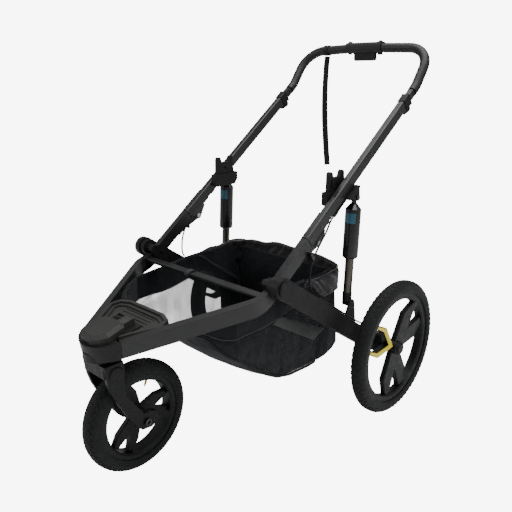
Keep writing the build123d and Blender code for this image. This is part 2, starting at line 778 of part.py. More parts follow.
def handlebar_leg():
    """Flat leg that telescopes in the rail, with the bar's end set in its top."""
    leg_low = rail_top - leg_inside
    low_x = rail_centre_x - leg_width / 2
    half_gap = (upper_rail_depth - leg_depth) / 2
    leg = rail_box(low_x, low_x + leg_width, leg_low, rail_top + 34, -upper_rail_depth + half_gap, -half_gap)
    core = rail_box(low_x + leg_wall, low_x + leg_width - leg_wall, leg_low - 1, rail_top + 24,
                    -upper_rail_depth + half_gap + leg_wall, -half_gap - leg_wall)
    return leg - core


bar_tube = whole_bar(Circle(bar_radius)) + handlebar_leg() + mirror(handlebar_leg(), about=Plane.YZ)
keep("handlebar_tube", bar_tube - whole_bar(Circle(bar_radius - leg_wall)))
grip = grip_half()
grip_room = rail_box(rail_centre_x - 9, rail_centre_x + 9, rail_top - 10, rail_top + 34.2, -40, 10)
keep("grips", both_sides(grip - grip_room))

housing_depth = 36.0
housing_height = 32.0
lever_half = 42.0
lever_pivot = (bar_cross_y + 2, 1026.5)
lever_pivot_radius = 3.5
lock_slot = (46.0, 64.0)


def handle_housing():
    """Central housing around the bar with room for the brake lever and its lock."""
    face = Plane.YZ * RectangleRounded(housing_depth, housing_height, 12)
    body = Pos(0, bar_cross_y, bar_cross_z) * extrude(face, housing_half_length, both=True)
    for x in (-housing_half_length + 9, housing_half_length - 9):
        ring = extrude(side_plane(x - 3) * (Pos(bar_cross_y, bar_cross_z) * Circle(20.5)), 6)
        body += chamfer(ring.edges(), 1.5)
    body -= whole_bar(Circle(bar_radius + 0.05))
    slot = Pos(0, lever_pivot[0], lever_pivot[1] - 5) * Box(2 * lever_half + 1, 20, 19)
    body -= slot
    for low_x in (-lever_half - 3.5, lever_half):
        body -= side_disc(lever_pivot, lever_pivot_radius + running_gap, low_x, low_x + 3.5)
    middle = (lock_slot[0] + lock_slot[1]) / 2
    body -= Pos(middle, bar_cross_y, 1021) * Box(lock_slot[1] - lock_slot[0], 14, 18)
    return body


def brake_lever():
    """Squeeze bar under the housing."""
    plate = Pos(0, lever_pivot[0], (1001 + lever_pivot[1]) / 2) * Box(
        2 * lever_half, 9, lever_pivot[1] - 1001
    )
    plate = fillet(plate.edges().filter_by(Axis.Y).sort_by(Axis.Z)[:2], 7)
    plate = chamfer(plate.edges().filter_by(Axis.X).sort_by(Axis.Z)[:2], 2)
    return plate + side_disc(lever_pivot, lever_pivot_radius, -lever_half - 3, lever_half + 3)


keep("handle_housing", handle_housing())
keep("brake_lever", brake_lever())
lock_height = 11.0
lever_lock_piece = Pos(lock_slot[1] - 6.4, bar_cross_y, 1029.6 - lock_height / 2) * Box(12, 13.2, lock_height)
keep("lever_lock", chamfer(lever_lock_piece.edges().filter_by(Axis.Z), 1.5))

# Wrist strap that hangs from the bar, right of the middle.
strap_x = -150.0
strap_thickness = 2.4
strap_width = 20.0
strap_low_z = 647.0
strap_bar_z = bar_corner_z + (bar_cross_z - bar_corner_z) * (rail_centre_x + strap_x) / rail_centre_x
strap_loop = Pos(strap_x, bar_cross_y, strap_bar_z) * extrude(
    Plane.YZ * (Circle(grip_radius + 0.6 + strap_thickness) - Circle(grip_radius + 0.6)),
    strap_width / 2, both=True,
)
strap_top_z = strap_bar_z - grip_radius - 0.6 - strap_thickness
strap_tail = Pos(strap_x, bar_cross_y, (strap_top_z + 0.6 + strap_low_z) / 2) * Box(
    strap_width, 2 * strap_thickness, strap_top_z + 0.6 - strap_low_z
)
strap_tail -= Pos(strap_x, bar_cross_y, strap_bar_z) * extrude(
    Plane.YZ * Circle(grip_radius + 0.6 + strap_thickness), strap_width, both=True
)
keep("wrist_strap", [strap_loop, strap_tail])


# ================= fork =================
def fork():
    """Crown, stem and two blades of the swivelling front fork."""
    low = fork_inner_half
    high = fork_inner_half + blade_thickness
    outline = [
        (-782, crown_top), (-776, 290), (-768, 262), (-751, 224), (-723, 172), (-706, 145), (-693, 131),
        (-664, 127), (-649, 134), (-641, 149), (-647, 167), (-664, 175), (-682, 173), (-706, 208),
        (-728, 246), (-732, 284), (-727, 305), (-730, crown_top),
    ]
    blade = side_plate(outline, low, high)
    blade = chamfer(blade.faces().sort_by(Axis.X)[-1].edges(), 2.2)
    boss = side_disc((-753, 312), 19, high - 4, high + 4)
    blade += chamfer(boss.edges().sort_by(Axis.X)[-1], 3)
    blade -= side_disc(front_axle, front_axle_radius + seat_gap, low - 1, high + 1)
    crown = Pos(0, (-782 - 730) / 2, (crown_bottom + crown_top) / 2) * Box(
        2 * high, 52, crown_top - crown_bottom
    )
    crown = chamfer(crown.edges().filter_by(Axis.Z), 8)
    crown = crown - side_disc(front_axle, front_wheel_radius + 6, -60, 60)
    stem = Pos(0, steer_y, (crown_top + stem_top) / 2) * Cylinder(stem_radius, stem_top - crown_top + 0.2)
    collar = Pos(0, steer_y, crown_top + 0.6) * Cylinder(stem_radius + 6, 1.4)
    return crown + blade + mirror(blade, about=Plane.YZ) + stem + collar


keep("fork", fork())
axle_half = fork_inner_half + blade_thickness
axle_bar = side_disc(front_axle, front_axle_radius, -axle_half - 2, axle_half + 2)
nut_inner = axle_half + 0.2
nut = extrude(side_plane(nut_inner) * (Pos(*front_axle) * RegularPolygon(10, 6)), 6)
nut -= side_disc(front_axle, front_axle_radius + 0.05, nut_inner - 1, nut_inner + 8)
keep("front_axle", [axle_bar] + both_sides(nut))


# ================= wheels =================
def ring_about_x(points, centre):
    """Solid of revolution of (x, radius) points about an X axis through (y, z)."""
    face = make_face(Polyline(*points, close=True))
    return revolve(face, Axis.X, 360).moved(Location((0, centre[0], centre[1])))


def tyre(half_width, radius, rim_radius, centre_x, centre):
    """Hollow tyre, open towards the rim."""
    crown = radius - half_width
    section = Pos(centre_x, crown) * (Circle(half_width) - Circle(half_width - tyre_wall))
    section -= Pos(centre_x, rim_radius - 2 - 30) * Rectangle(4 * half_width, 60)
    ring = revolve(section, Axis.X, 360)
    return ring.moved(Location((0, centre[0], centre[1])))


def wheel_plate(points, centre, angle, low_x, high_x):
    """Plate drawn as (radius, turn from the given angle) points around a wheel's centre."""
    outline = []
    for radius, turn in points:
        y, z = polar(radius, angle + turn)
        outline.append((centre[0] + y, centre[1] + z))
    return side_plate(outline, low_x, high_x)


def mirrored_turns(points):
    """Closes half an outline of (radius, turn) points with its mirror image."""
    return points + [(radius, -turn) for radius, turn in points[::-1]]


def spoke_pair(centre, hole, angle, bulge, hub_radius, low_x, high_x):
    """Two wide bent blades that part near the hub and meet the rim close together."""
    outline = [(hub_radius * 0.9, 80), (hole * 0.71, bulge), (hole + 2, 19)]
    slot = [(hole * 0.5, 0.5), (hole * 0.87, 10.5), (hole + 9, 10)]
    pair = wheel_plate(mirrored_turns(outline), centre, angle, low_x, high_x)
    sides = pair.faces().sort_by(Axis.X)
    pair = chamfer(sides[-1].edges() + sides[0].edges(), 2.6)
    return pair - wheel_plate(mirrored_turns(slot), centre, angle, low_x - 1, high_x + 1)


def loop_outline(hole, hub_radius):
    return mirrored_turns([(hub_radius, 4), (hole * 0.665, loop_bulge), (hole + 2, 16.5)])


def loop_window(hole):
    return mirrored_turns([(hole * 0.34, 0.5), (hole * 0.7, 17), (hole + 9, 12)])


def rim(half_width, radius, rim_radius, hole, centre_x, centre, angles, bulge, axle, hub_half, hub_radius):
    """Moulded rim with its spoke pairs and the hub."""
    crown = radius - half_width
    inner = half_width - tyre_wall
    bead = (inner ** 2 - (crown - (rim_radius - 2)) ** 2) ** 0.5 - 0.4
    points = [
        (centre_x - bead, hole + 4), (centre_x - bead + 4, hole), (centre_x + bead - 4, hole),
        (centre_x + bead, hole + 4), (centre_x + bead, rim_radius), (centre_x + bead - 3, rim_radius),
        (centre_x + bead - 5, hole + 7), (centre_x - bead + 5, hole + 7),
        (centre_x - bead + 3, rim_radius), (centre_x - bead, rim_radius),
    ]
    body = ring_about_x(points, centre)
    half = spoke_thickness / 2
    for angle in angles:
        body += spoke_pair(centre, hole, angle, bulge, hub_radius, centre_x - half, centre_x + half)
    hub = side_disc(centre, hub_radius, centre_x - hub_half, centre_x + hub_half)
    body += chamfer(hub.edges(), 3)
    return body - side_disc(centre, axle + running_gap, centre_x - 60, centre_x + 60)


keep("front_tyre", tyre(front_tyre_half_width, front_wheel_radius, front_rim_radius, 0, front_axle))
front_hub_half = fork_inner_half - side_gap
keep(
    "front_rim",
    rim(front_tyre_half_width, front_wheel_radius, front_rim_radius, front_rim_hole, 0, front_axle,
        front_spoke_angles, front_spoke_bulge, front_axle_radius, front_hub_half, front_hub_radius),
)
valve_angle = 64.0
valve_length = 18.0
valve = Cylinder(3.2, valve_length) + Pos(0, 0, -valve_length / 2 - 2) * Cylinder(2.2, 5)
valve_y, valve_z = polar(front_rim_hole - valve_length / 2 - 0.3, valve_angle)
valve_place = Plane(origin=(0, front_axle[0] + valve_y, front_axle[1] + valve_z), x_dir=(1, 0, 0),
                    z_dir=(0, cos(radians(valve_angle)), sin(radians(valve_angle))))
keep("front_valve", valve.moved(valve_place.location))

rear_hub_half = 21.0
loop_low_x = rear_wheel_x - spoke_thickness / 2
loop_high_x = rear_wheel_x + spoke_thickness / 2


def rear_rim():
    """Rear rim, whose third pair of spokes is a five-sided loop."""
    body = rim(rear_tyre_half_width, rear_wheel_radius, rear_rim_radius, rear_rim_hole, rear_wheel_x,
               rear_axle, rear_spoke_angles, spoke_bulge, rear_axle_radius, rear_hub_half, rear_hub_radius)
    outline = loop_outline(rear_rim_hole, rear_hub_radius * 0.9)
    loop = wheel_plate(outline, rear_axle, loop_angle, loop_low_x, loop_high_x)
    loop -= wheel_plate(loop_window(rear_rim_hole), rear_axle, loop_angle, loop_low_x - 1, loop_high_x + 1)
    bore = side_disc(rear_axle, rear_axle_radius + running_gap, loop_low_x - 1, loop_high_x + 1)
    return body + (loop - bore)


def wheel_face(points):
    """Flat face of (radius, turn) points around the rear wheel's centre, at the loop's angle."""
    corners = []
    for radius, turn in points:
        y, z = polar(radius, loop_angle + turn)
        corners.append((rear_axle[0] + y, rear_axle[1] + z))
    return make_face(Polyline(*corners, close=True))


def bezel():
    """Coloured trim on the outer face of the wheel's five-sided loop."""
    low_x = loop_high_x + seat_gap / 2
    high_x = low_x + bezel_thickness
    outline = loop_outline(rear_rim_hole, rear_hub_radius + 2)
    band_face = side_plane(low_x) * offset(wheel_face(outline), -bezel_border, kind=Kind.INTERSECTION)
    gap_face = side_plane(low_x) * offset(wheel_face(loop_window(rear_rim_hole)), 1.2, kind=Kind.INTERSECTION)
    trim = extrude(band_face, bezel_thickness) - extrude(gap_face, bezel_thickness)
    trim -= side_disc(rear_axle, rear_hub_radius + seat_gap, low_x - 1, high_x + 1)
    return trim & side_disc(rear_axle, rear_rim_hole - 2, low_x - 1, high_x + 1)


left_rear = {
    "tyre": tyre(rear_tyre_half_width, rear_wheel_radius, rear_rim_radius, rear_wheel_x, rear_axle),
    "rim": rear_rim(),
    "bezel": bezel(),
}
cap_x = rear_wheel_x + rear_hub_half + 0.1
dome = side_disc(rear_axle, 17.0, cap_x, cap_x + 6)
left_rear["hub_cap"] = fillet(dome.edges().sort_by(Axis.X)[-1], 5)

# ================= rear arms =================
housing_x = (arm_outer_x - 6.0, 302.0)
housing_radius = 30.0
bush_outer = arm_pin_radius + running_gap + bush_wall
arm_end = (-62.0, 231.0)
arm_tilt = atan2(arm_end[1] - arm_pivot[1], arm_end[0] - arm_pivot[0])
arm_core_half = arm_depth / 2 - 4.0


def on_arm(along, above):
    """(y, z) of a point given along the arm from its pivot, and above its middle line."""
    y = arm_pivot[0] + cos(arm_tilt) * along - sin(arm_tilt) * above
    return (y, arm_pivot[1] + sin(arm_tilt) * along + cos(arm_tilt) * above)


def rear_arm():
    """Box-section trailing arm with the pivot bore, the strut's tab and the axle housing."""
    half = arm_depth / 2
    reach = hypot(arm_end[0] - arm_pivot[0], arm_end[1] - arm_pivot[1])
    beam = side_plate(
        [
            on_arm(0, arm_pivot_radius), on_arm(reach, half),
            on_arm(reach, -half), on_arm(0, -arm_pivot_radius),
        ],
        arm_inner_x, arm_outer_x,
    )
    body = beam + side_disc(arm_pivot, arm_pivot_radius, arm_inner_x, arm_outer_x)
    body = chamfer(body.faces().sort_by(Axis.X)[-1].edges(), 2.0)
    core = [
        on_arm(0, arm_core_half), on_arm(reach - 20, arm_core_half),
        on_arm(reach - 20, -arm_core_half), on_arm(0, -arm_core_half),
    ]
    body -= side_plate(core, arm_inner_x + arm_wall, arm_outer_x - arm_wall)
    tab = side_hull([(strut_bottom[0], strut_bottom[1], 12), (-150, 300, 8), (-104, 272, 8)],
                    arm_inner_x, arm_inner_x + 5)
    body += tab - side_plate(core, arm_inner_x - 1, arm_outer_x + 1)
    shell = side_hull([(-48, 221, arm_depth / 2), (*rear_axle, housing_radius)], *housing_x)
    body += chamfer(shell.faces().sort_by(Axis.X)[-1].edges(), 4)
    body += side_disc(rear_axle, 15, housing_x[1], housing_x[1] + 2)
    body -= side_disc(arm_pivot, bush_outer + running_gap, arm_inner_x - 1, arm_outer_x + 1)
    return body - side_disc(rear_axle, rear_axle_radius + 0.02, housing_x[0] + 4, housing_x[1] + 10)


def pivot_bush():
    """Bush on the pivot pin with a spar that reaches back inside the hollow arm."""
    ring = side_disc(arm_pivot, bush_outer, arm_inner_x + 0.2, arm_outer_x - 0.2)
    top = arm_core_half - 1
    middle_x = (arm_inner_x + arm_outer_x) / 2
    spar = side_plate(
        [
            on_arm(4, top), on_arm(spar_length, top),
            on_arm(spar_length, top - spar_tip), on_arm(4, top - spar_root),
        ],
        middle_x - spar_width / 2, middle_x + spar_width / 2,
    )
    return ring + spar - side_disc(arm_pivot, arm_pin_radius + running_gap, arm_inner_x, arm_outer_x)


left_arm = {
    "pivot_bush": pivot_bush(),
    "rear_arm": rear_arm(),
    "axle": side_disc(rear_axle, rear_axle_radius, housing_x[0] + 4.2, rear_wheel_x + rear_hub_half - 1),
}

# ================= spring struts =================
strut_length = hypot(strut_bottom[0] - strut_top[0], strut_bottom[1] - strut_top[1])
strut_down = (
    (strut_bottom[0] - strut_top[0]) / strut_length,
    (strut_bottom[1] - strut_top[1]) / strut_length,
)


def strut_plane(distance):
    """Plane across the strut, a distance below its top pin; local +Y faces the front."""
    origin = (strut_x, strut_top[0] + strut_down[0] * distance, strut_top[1] + strut_down[1] * distance)
    return Plane(origin=origin, x_dir=(1, 0, 0), z_dir=(0, strut_down[0], strut_down[1]))


def strut_tube(low, high, outer, inner=0.0):
    face = Circle(outer) - Circle(inner) if inner else Circle(outer)
    return extrude(strut_plane(low) * face, high - low)


window_low = 42.0
window_high = 70.0
window_front = 12.0
window_recess = 1.4
guide_length = 9.0


def window_ring(outer, inner, low, high, front):
    ring = strut_tube(low, high, outer, inner)
    return ring & extrude(strut_plane(low) * (Pos(0, front + 50) * Rectangle(100, 100)), high - low)


def strut_body():
    """Damper body with its eye, tapered shoulder and bore."""
    body = side_disc(strut_top, strut_eye_radius, strut_x - eye_half, strut_x + eye_half)
    body += strut_tube(3, 16, 7.0)
    body += loft([
        strut_plane(15) * Circle(7.0),
        strut_plane(strut_body_start) * Circle(strut_body_radius),
    ])
    body += strut_tube(strut_body_start, strut_body_end - 4, strut_body_radius)
    body += loft([
        strut_plane(strut_body_end - 4) * Circle(strut_body_radius),
        strut_plane(strut_body_end) * Circle(strut_body_radius - 3),
    ])
    body -= strut_tube(strut_body_start + 6, strut_body_end - guide_length, strut_bore_radius)
    body -= strut_tube(strut_body_end - guide_length - 1, strut_body_end + 1, strut_rod_radius + running_gap)
    body -= side_disc(strut_top, strut_pin_radius + running_gap, strut_x - 20, strut_x + 20)
    return body - window_ring(strut_body_radius + 5, strut_body_radius - window_recess - 0.05,
                              window_low - 0.05, window_high + 0.05, window_front - 0.05)


piston_low = 98.0
piston_height = 8.0


def strut_rod():
    """Rod with its piston at the top and a dark eye fitting at the bottom."""
    body = strut_tube(piston_low, piston_low + piston_height, strut_bore_radius - 0.3)
    body += strut_tube(piston_low + 2, strut_length - 16, strut_rod_radius, strut_rod_radius - 2)
    return body


def strut_foot():
    cup_radius = strut_rod_radius + 1.2
    cup = strut_tube(strut_length - 30, strut_length - 8, cup_radius, strut_rod_radius + 0.05)
    plug = strut_tube(strut_length - 15.8, strut_length - 6, cup_radius)
    eye = side_disc(strut_bottom, strut_eye_radius, strut_x - 9, arm_inner_x - side_gap)
    return cup + plug + eye


def strut_spring():
    low = strut_body_start + 6 + spring_wire_radius + 0.4
    high = piston_low - spring_wire_radius - 0.4
    radius = 12.5
    turns = 6
    coil = Helix(pitch=(high - low) / turns, height=high - low, radius=radius)
    start = coil @ 0
    wire_face = Plane(origin=start, z_dir=coil % 0) * Circle(spring_wire_radius)
    spring = sweep(wire_face, path=coil, is_frenet=True)
    return spring.moved(strut_plane(low).location)


left_strut = {
    "strut_body": strut_body(),
    "strut_window": window_ring(strut_body_radius + 0.2, strut_body_radius - window_recess,
                                window_low, window_high, window_front),
    "strut_rod": strut_rod(),
    "strut_foot": strut_foot(),
    "strut_spring": strut_spring(),
}

for group in (left_rear, left_arm, left_strut):
    for name, piece in group.items():
        keep("left_" + name, piece)
        keep("right_" + name, mirror(piece, about=Plane.YZ))

# ================= brake cables =================
arm_slope = (arm_end[1] - arm_pivot[1]) / (arm_end[0] - arm_pivot[0])


def above_arm(y, height):
    """z of a point a little above the arm's top face."""
    top = arm_pivot[1] + hypot(1, arm_slope) * (arm_depth / 2 + 1.2)
    return top + (y - arm_pivot[0]) * arm_slope + height


along_arm = [
    (267, -272, above_arm(-272, 4.2)), (270, -232, above_arm(-232, 4.0)), (272, -186, above_arm(-186, 4.4)),
    (273, -140, above_arm(-140, 4.2)), (276, -96, above_arm(-96, 5.0)), (281, -62, above_arm(-62, 10)),
]
keep("brake_cables", both_sides(cable(hinge_cable_route, cable_radius)))
arm_cable = cable(along_arm, cable_radius)
keep("left_arm_cable", arm_cable)
keep("right_arm_cable", mirror(arm_cable, about=Plane.YZ))


# ================= output =================
front_end = front_wheel_y - front_wheel_radius
back_end = bar_cross_y + 20.5
middle_y = (front_end + back_end) / 2

os.makedirs("parts", exist_ok=True)
for name, pieces in parts.items():
    shifted = [piece.moved(Location((0, -middle_y, 0))) for piece in pieces]
    solids = [solid for piece in shifted for solid in piece.solids()]
    export_step(Compound(solids), f"parts/{name}.step")
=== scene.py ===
import math

import bmesh
import bpy
from bpy.props import FloatProperty, FloatVectorProperty, PointerProperty
from mathutils import Matrix, Vector, noise


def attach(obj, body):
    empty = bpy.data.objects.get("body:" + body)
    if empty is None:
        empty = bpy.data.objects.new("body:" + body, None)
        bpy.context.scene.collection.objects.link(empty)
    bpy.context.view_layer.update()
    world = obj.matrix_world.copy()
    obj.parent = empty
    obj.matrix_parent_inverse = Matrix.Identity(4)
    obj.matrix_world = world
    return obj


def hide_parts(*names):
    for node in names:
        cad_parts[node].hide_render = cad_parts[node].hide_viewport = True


bl_info = {
    "name": "Jogging Stroller",
    "version": (1, 0, 0),
    "blender": (4, 5, 0),
    "location": "View3D > Sidebar > Stroller",
    "description": "Builds the visible skin of a three-wheeled jogging stroller on its CAD frame",
    "category": "Object",
}

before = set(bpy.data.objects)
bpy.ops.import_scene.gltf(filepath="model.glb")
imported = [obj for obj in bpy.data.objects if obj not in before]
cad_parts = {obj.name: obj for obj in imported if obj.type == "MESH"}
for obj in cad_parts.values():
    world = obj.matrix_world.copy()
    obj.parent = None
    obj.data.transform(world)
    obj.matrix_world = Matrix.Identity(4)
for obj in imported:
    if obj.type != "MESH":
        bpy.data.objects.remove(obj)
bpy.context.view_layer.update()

# Lengths in the pieces below are in millimetres, from the middle, the rear axle and the floor.
MM = 0.001
REAR_AXLE_Y = 254.25
SIDES = {"left": 1, "right": -1}


def place(x, y, z):
    """Point in the shared frame, in metres."""
    return Vector((x, y + REAR_AXLE_Y, z)) * MM


def level(points, at):
    """Height of a broken line of (place, height) points at one place."""
    if at <= points[0][0]:
        return points[0][1]
    for (a, low), (b, high) in zip(points, points[1:]):
        if at <= b:
            return low + (high - low) * (at - a) / (b - a)
    return points[-1][1]


def eased(low, high, at):
    """0 below low, 1 above high, and a soft step between."""
    t = min(max((at - low) / (high - low), 0.0), 1.0)
    return t * t * (3 - 2 * t)


# ---------------------------------------------------------------- materials
class Nodes:
    """Short way to wire one procedural material."""

    def __init__(self, name, base, roughness, metallic=0.0, **extra):
        self.material = bpy.data.materials.new(name)
        self.material.use_nodes = True
        self.tree = self.material.node_tree
        self.tree.nodes.clear()
        self.out = self.tree.nodes.new("ShaderNodeOutputMaterial")
        self.shader = self.tree.nodes.new("ShaderNodeBsdfPrincipled")
        self.link(self.shader.outputs[0], self.out.inputs["Surface"])
        self.shader.inputs["Base Color"].default_value = (*base, 1)
        self.shader.inputs["Roughness"].default_value = roughness
        self.shader.inputs["Metallic"].default_value = metallic
        for socket, value in extra.items():
            self.shader.inputs[socket.replace("_", " ")].default_value = value
        self.base = base
        self.roughness = roughness
        self.coordinates = None
        self.normal = None

    def link(self, source, target):
        self.tree.links.new(source, target)

    def node(self, kind, **choices):
        """New shader node, with its sockets or its own choices set."""
        made = self.tree.nodes.new("ShaderNode" + kind)
        for key, value in choices.items():
            if key in made.inputs:
                made.inputs[key].default_value = value
            else:
                setattr(made, key, value)
        return made

    def spot(self):
        """Object coordinates."""
        if self.coordinates is None:
            self.coordinates = self.node("TexCoord").outputs["Object"]
        return self.coordinates

    def cloud(self, scale, detail=3.0, stretch=None):
        """Noise over the surface; stretch squeezes it along each axis."""
        source = self.spot()
        if stretch:
            mapping = self.node("Mapping")
            mapping.inputs["Scale"].default_value = stretch
            self.link(source, mapping.inputs["Vector"])
            source = mapping.outputs[0]
        noise_node = self.node("TexNoise")
        noise_node.inputs["Scale"].default_value = scale
        noise_node.inputs["Detail"].default_value = detail
        self.link(source, noise_node.inputs["Vector"])
        return noise_node.outputs["Fac"]

    def cells(self, scale, feature="F1"):
        """Small cells, such as those of leather grain or glass beads."""
        cell = self.node("TexVoronoi", feature=feature)
        cell.inputs["Scale"].default_value = scale
        self.link(self.spot(), cell.inputs["Vector"])
        return cell.outputs["Distance"]

    def lines(self, scale, direction, distortion, source=None):
        """Even lines across one direction, such as threads or brush marks."""
        wave = self.node("TexWave", bands_direction=direction, wave_profile="SIN")
        wave.inputs["Scale"].default_value = scale
        wave.inputs["Distortion"].default_value = distortion
        self.link(source or self.spot(), wave.inputs["Vector"])
        return wave.outputs["Fac"]

    def remap(self, fac, low, high, from_low=0.3, from_high=0.7):
        """Stretches a pattern's middle range to run from low to high."""
        made = self.node("MapRange")
        ends = {"From Min": from_low, "From Max": from_high, "To Min": low, "To Max": high}
        for key, value in ends.items():
            made.inputs[key].default_value = value
        self.link(fac, made.inputs["Value"])
        return made.outputs[0]

    def combine(self, a, b, operation="MULTIPLY"):
        """One pattern from two."""
        made = self.node("Math", operation=operation)
        self.link(a, made.inputs[0])
        self.link(b, made.inputs[1])
        return made.outputs[0]

    def tint(self, fac, low, high):
        """Base colour between two multiples of the base, or two colours."""
        ramp = self.node("ValToRGB")
        for element, value in zip(ramp.color_ramp.elements, (low, high)):
            colour = value if isinstance(value, tuple) else tuple(c * value for c in self.base)
            element.color = (*colour, 1)
        self.link(fac, ramp.inputs["Fac"])
        self.link(ramp.outputs["Color"], self.shader.inputs["Base Color"])
        return ramp.outputs["Color"]

    def gloss(self, fac, spread):
        """Varies the roughness either side of its own value."""
        self.link(self.remap(fac, self.roughness - spread, self.roughness + spread),
                  self.shader.inputs["Roughness"])

    def bump(self, fac, strength, depth):
        """Relief in metres, on top of any relief there already."""
        made = self.node("Bump")
        made.inputs["Strength"].default_value = strength
        made.inputs["Distance"].default_value = depth
        self.link(fac, made.inputs["Height"])
        if self.normal is not None:
            self.link(self.normal, made.inputs["Normal"])
        self.normal = made.outputs[0]
        self.link(self.normal, self.shader.inputs["Normal"])


def moulded_plastic(name, base, roughness, grain=1500.0, spread=0.06):
    """Matte moulded plastic with a fine spark-eroded grain."""
    made = Nodes(name, base, roughness, Specular_IOR_Level=0.26)
    made.tint(made.cloud(22.0), 0.82, 1.16)
    made.gloss(made.cloud(60.0), spread)
    made.bump(made.cloud(grain, 2.0), 0.28, 0.00022)
    made.bump(made.cloud(36.0, 1.0), 0.10, 0.0006)
    return made.material


def painted_rail():
    """Satin black paint with a thin clear coat."""
    made = Nodes("satin_black_rail", (0.0091, 0.0096, 0.0088), 0.38, Specular_IOR_Level=0.42,
                 Coat_Weight=0.22, Coat_Roughness=0.22)
    made.tint(made.cloud(9.0), 0.85, 1.2)
    made.gloss(made.cloud(45.0, 4.0), 0.07)
    made.bump(made.cloud(2600.0, 2.0), 0.16, 0.0001)
    made.bump(made.lines(160.0, "Z", 9.0), 0.025, 0.00012)
    return made.material


def metal(name, base, roughness):
    """Brushed or turned metal."""
    made = Nodes(name, base, roughness, 1.0)
    made.tint(made.cloud(70.0), 0.85, 1.1)
    made.gloss(made.cloud(150.0, 4.0, (1.0, 1.0, 0.1)), 0.08)
    made.bump(made.lines(900.0, "X", 5.0), 0.08, 0.00008)
    return made.material


def tyre_rubber():
    """Dusty black rubber."""
    made = Nodes("tyre_rubber", (0.0072, 0.0077, 0.0083), 0.72, Specular_IOR_Level=0.25,
                 Sheen_Weight=0.04)
    made.tint(made.cloud(30.0, 5.0), 0.75, 1.45)
    made.gloss(made.cloud(90.0), 0.10)
    made.bump(made.cloud(700.0, 3.0), 0.25, 0.0003)
    return made.material


def grip_leather():
    """Pebbled black leather."""
    made = Nodes("grip_leather", (0.0077, 0.0072, 0.0069), 0.46, Specular_IOR_Level=0.35,
                 Coat_Weight=0.06, Coat_Roughness=0.4)
    made.tint(made.cloud(160.0, 4.0), 0.8, 1.35)
    made.gloss(made.cells(420.0), 0.10)
    made.bump(made.cells(900.0, "DISTANCE_TO_EDGE"), 0.35, 0.0004)
    made.bump(made.cloud(240.0, 3.0), 0.2, 0.0005)
    return made.material


def woven_cloth(name, base, other, thread=900.0, roughness=0.82, sheen=0.12):
    """Plain weave that follows the panel's own UV map, with a soft sheen."""
    made = Nodes(name, base, roughness, Sheen_Weight=sheen, Sheen_Roughness=0.45,
                 Specular_IOR_Level=0.18)
    uv = made.node("UVMap").outputs[0]
    warp = made.lines(thread, "X", 0.4, source=uv)
    weft = made.lines(thread, "Y", 0.4, source=uv)
    weave = made.combine(warp, weft, "MAXIMUM")
    patches = made.cloud(38.0, 5.0)
    made.tint(made.combine(patches, weave, "MULTIPLY"), base, other)
    made.gloss(patches, 0.08)
    made.bump(weave, 0.35, 0.0004)
    made.bump(made.cloud(55.0, 4.0), 0.35, 0.004)
    return made.material


def see_through_mesh():
    """Fine knitted mesh: dark threads with open gaps between them."""
    made = Nodes("see_through_mesh", (0.0121, 0.0138, 0.0154), 0.75, Specular_IOR_Level=0.2,
                 Sheen_Weight=0.1)
    uv = made.node("UVMap").outputs[0]
    warp = made.lines(420.0, "X", 0.3, source=uv)
    weft = made.lines(420.0, "Y", 0.3, source=uv)
    threads = made.combine(warp, weft, "MAXIMUM")
    made.tint(made.cloud(50.0), 0.8, 1.3)
    made.link(made.remap(threads, 0.42, 0.94, 0.62, 0.9), made.shader.inputs["Alpha"])
    made.bump(threads, 0.4, 0.0004)
    return made.material


def webbing(name, base, other, rib=520.0):
    """Ribbed tape or thread that follows its own UV map."""
    made = Nodes(name, base, 0.7, Sheen_Weight=0.12, Sheen_Roughness=0.4,
                 Specular_IOR_Level=0.22)
    uv = made.node("UVMap").outputs[0]
    ribs = made.lines(rib, "Y", 0.5, source=uv)
    chain = made.lines(rib * 0.6, "X", 0.5, source=uv)
    made.tint(made.combine(ribs, chain), base, other)
    made.bump(made.combine(ribs, chain, "MAXIMUM"), 0.5, 0.0006)
    return made.material


def reflective_print():
    """Grey film with fine glass beads."""
    made = Nodes("reflective_patch", (0.062, 0.066, 0.066), 0.42, 0.35)
    made.tint(made.cells(1500.0), (0.022, 0.024, 0.024), (0.055, 0.058, 0.058))
    made.gloss(made.cloud(200.0), 0.1)
    made.bump(made.cells(1500.0), 0.3, 0.0003)
    return made.material


def gloss_plastic(name, base, roughness, **extra):
    """Smooth glossy plastic."""
    made = Nodes(name, base, roughness, **extra)
    made.tint(made.cloud(40.0), 0.88, 1.08)
    made.gloss(made.cloud(120.0), 0.05)
    made.bump(made.cloud(300.0), 0.06, 0.0003)
    return made.material


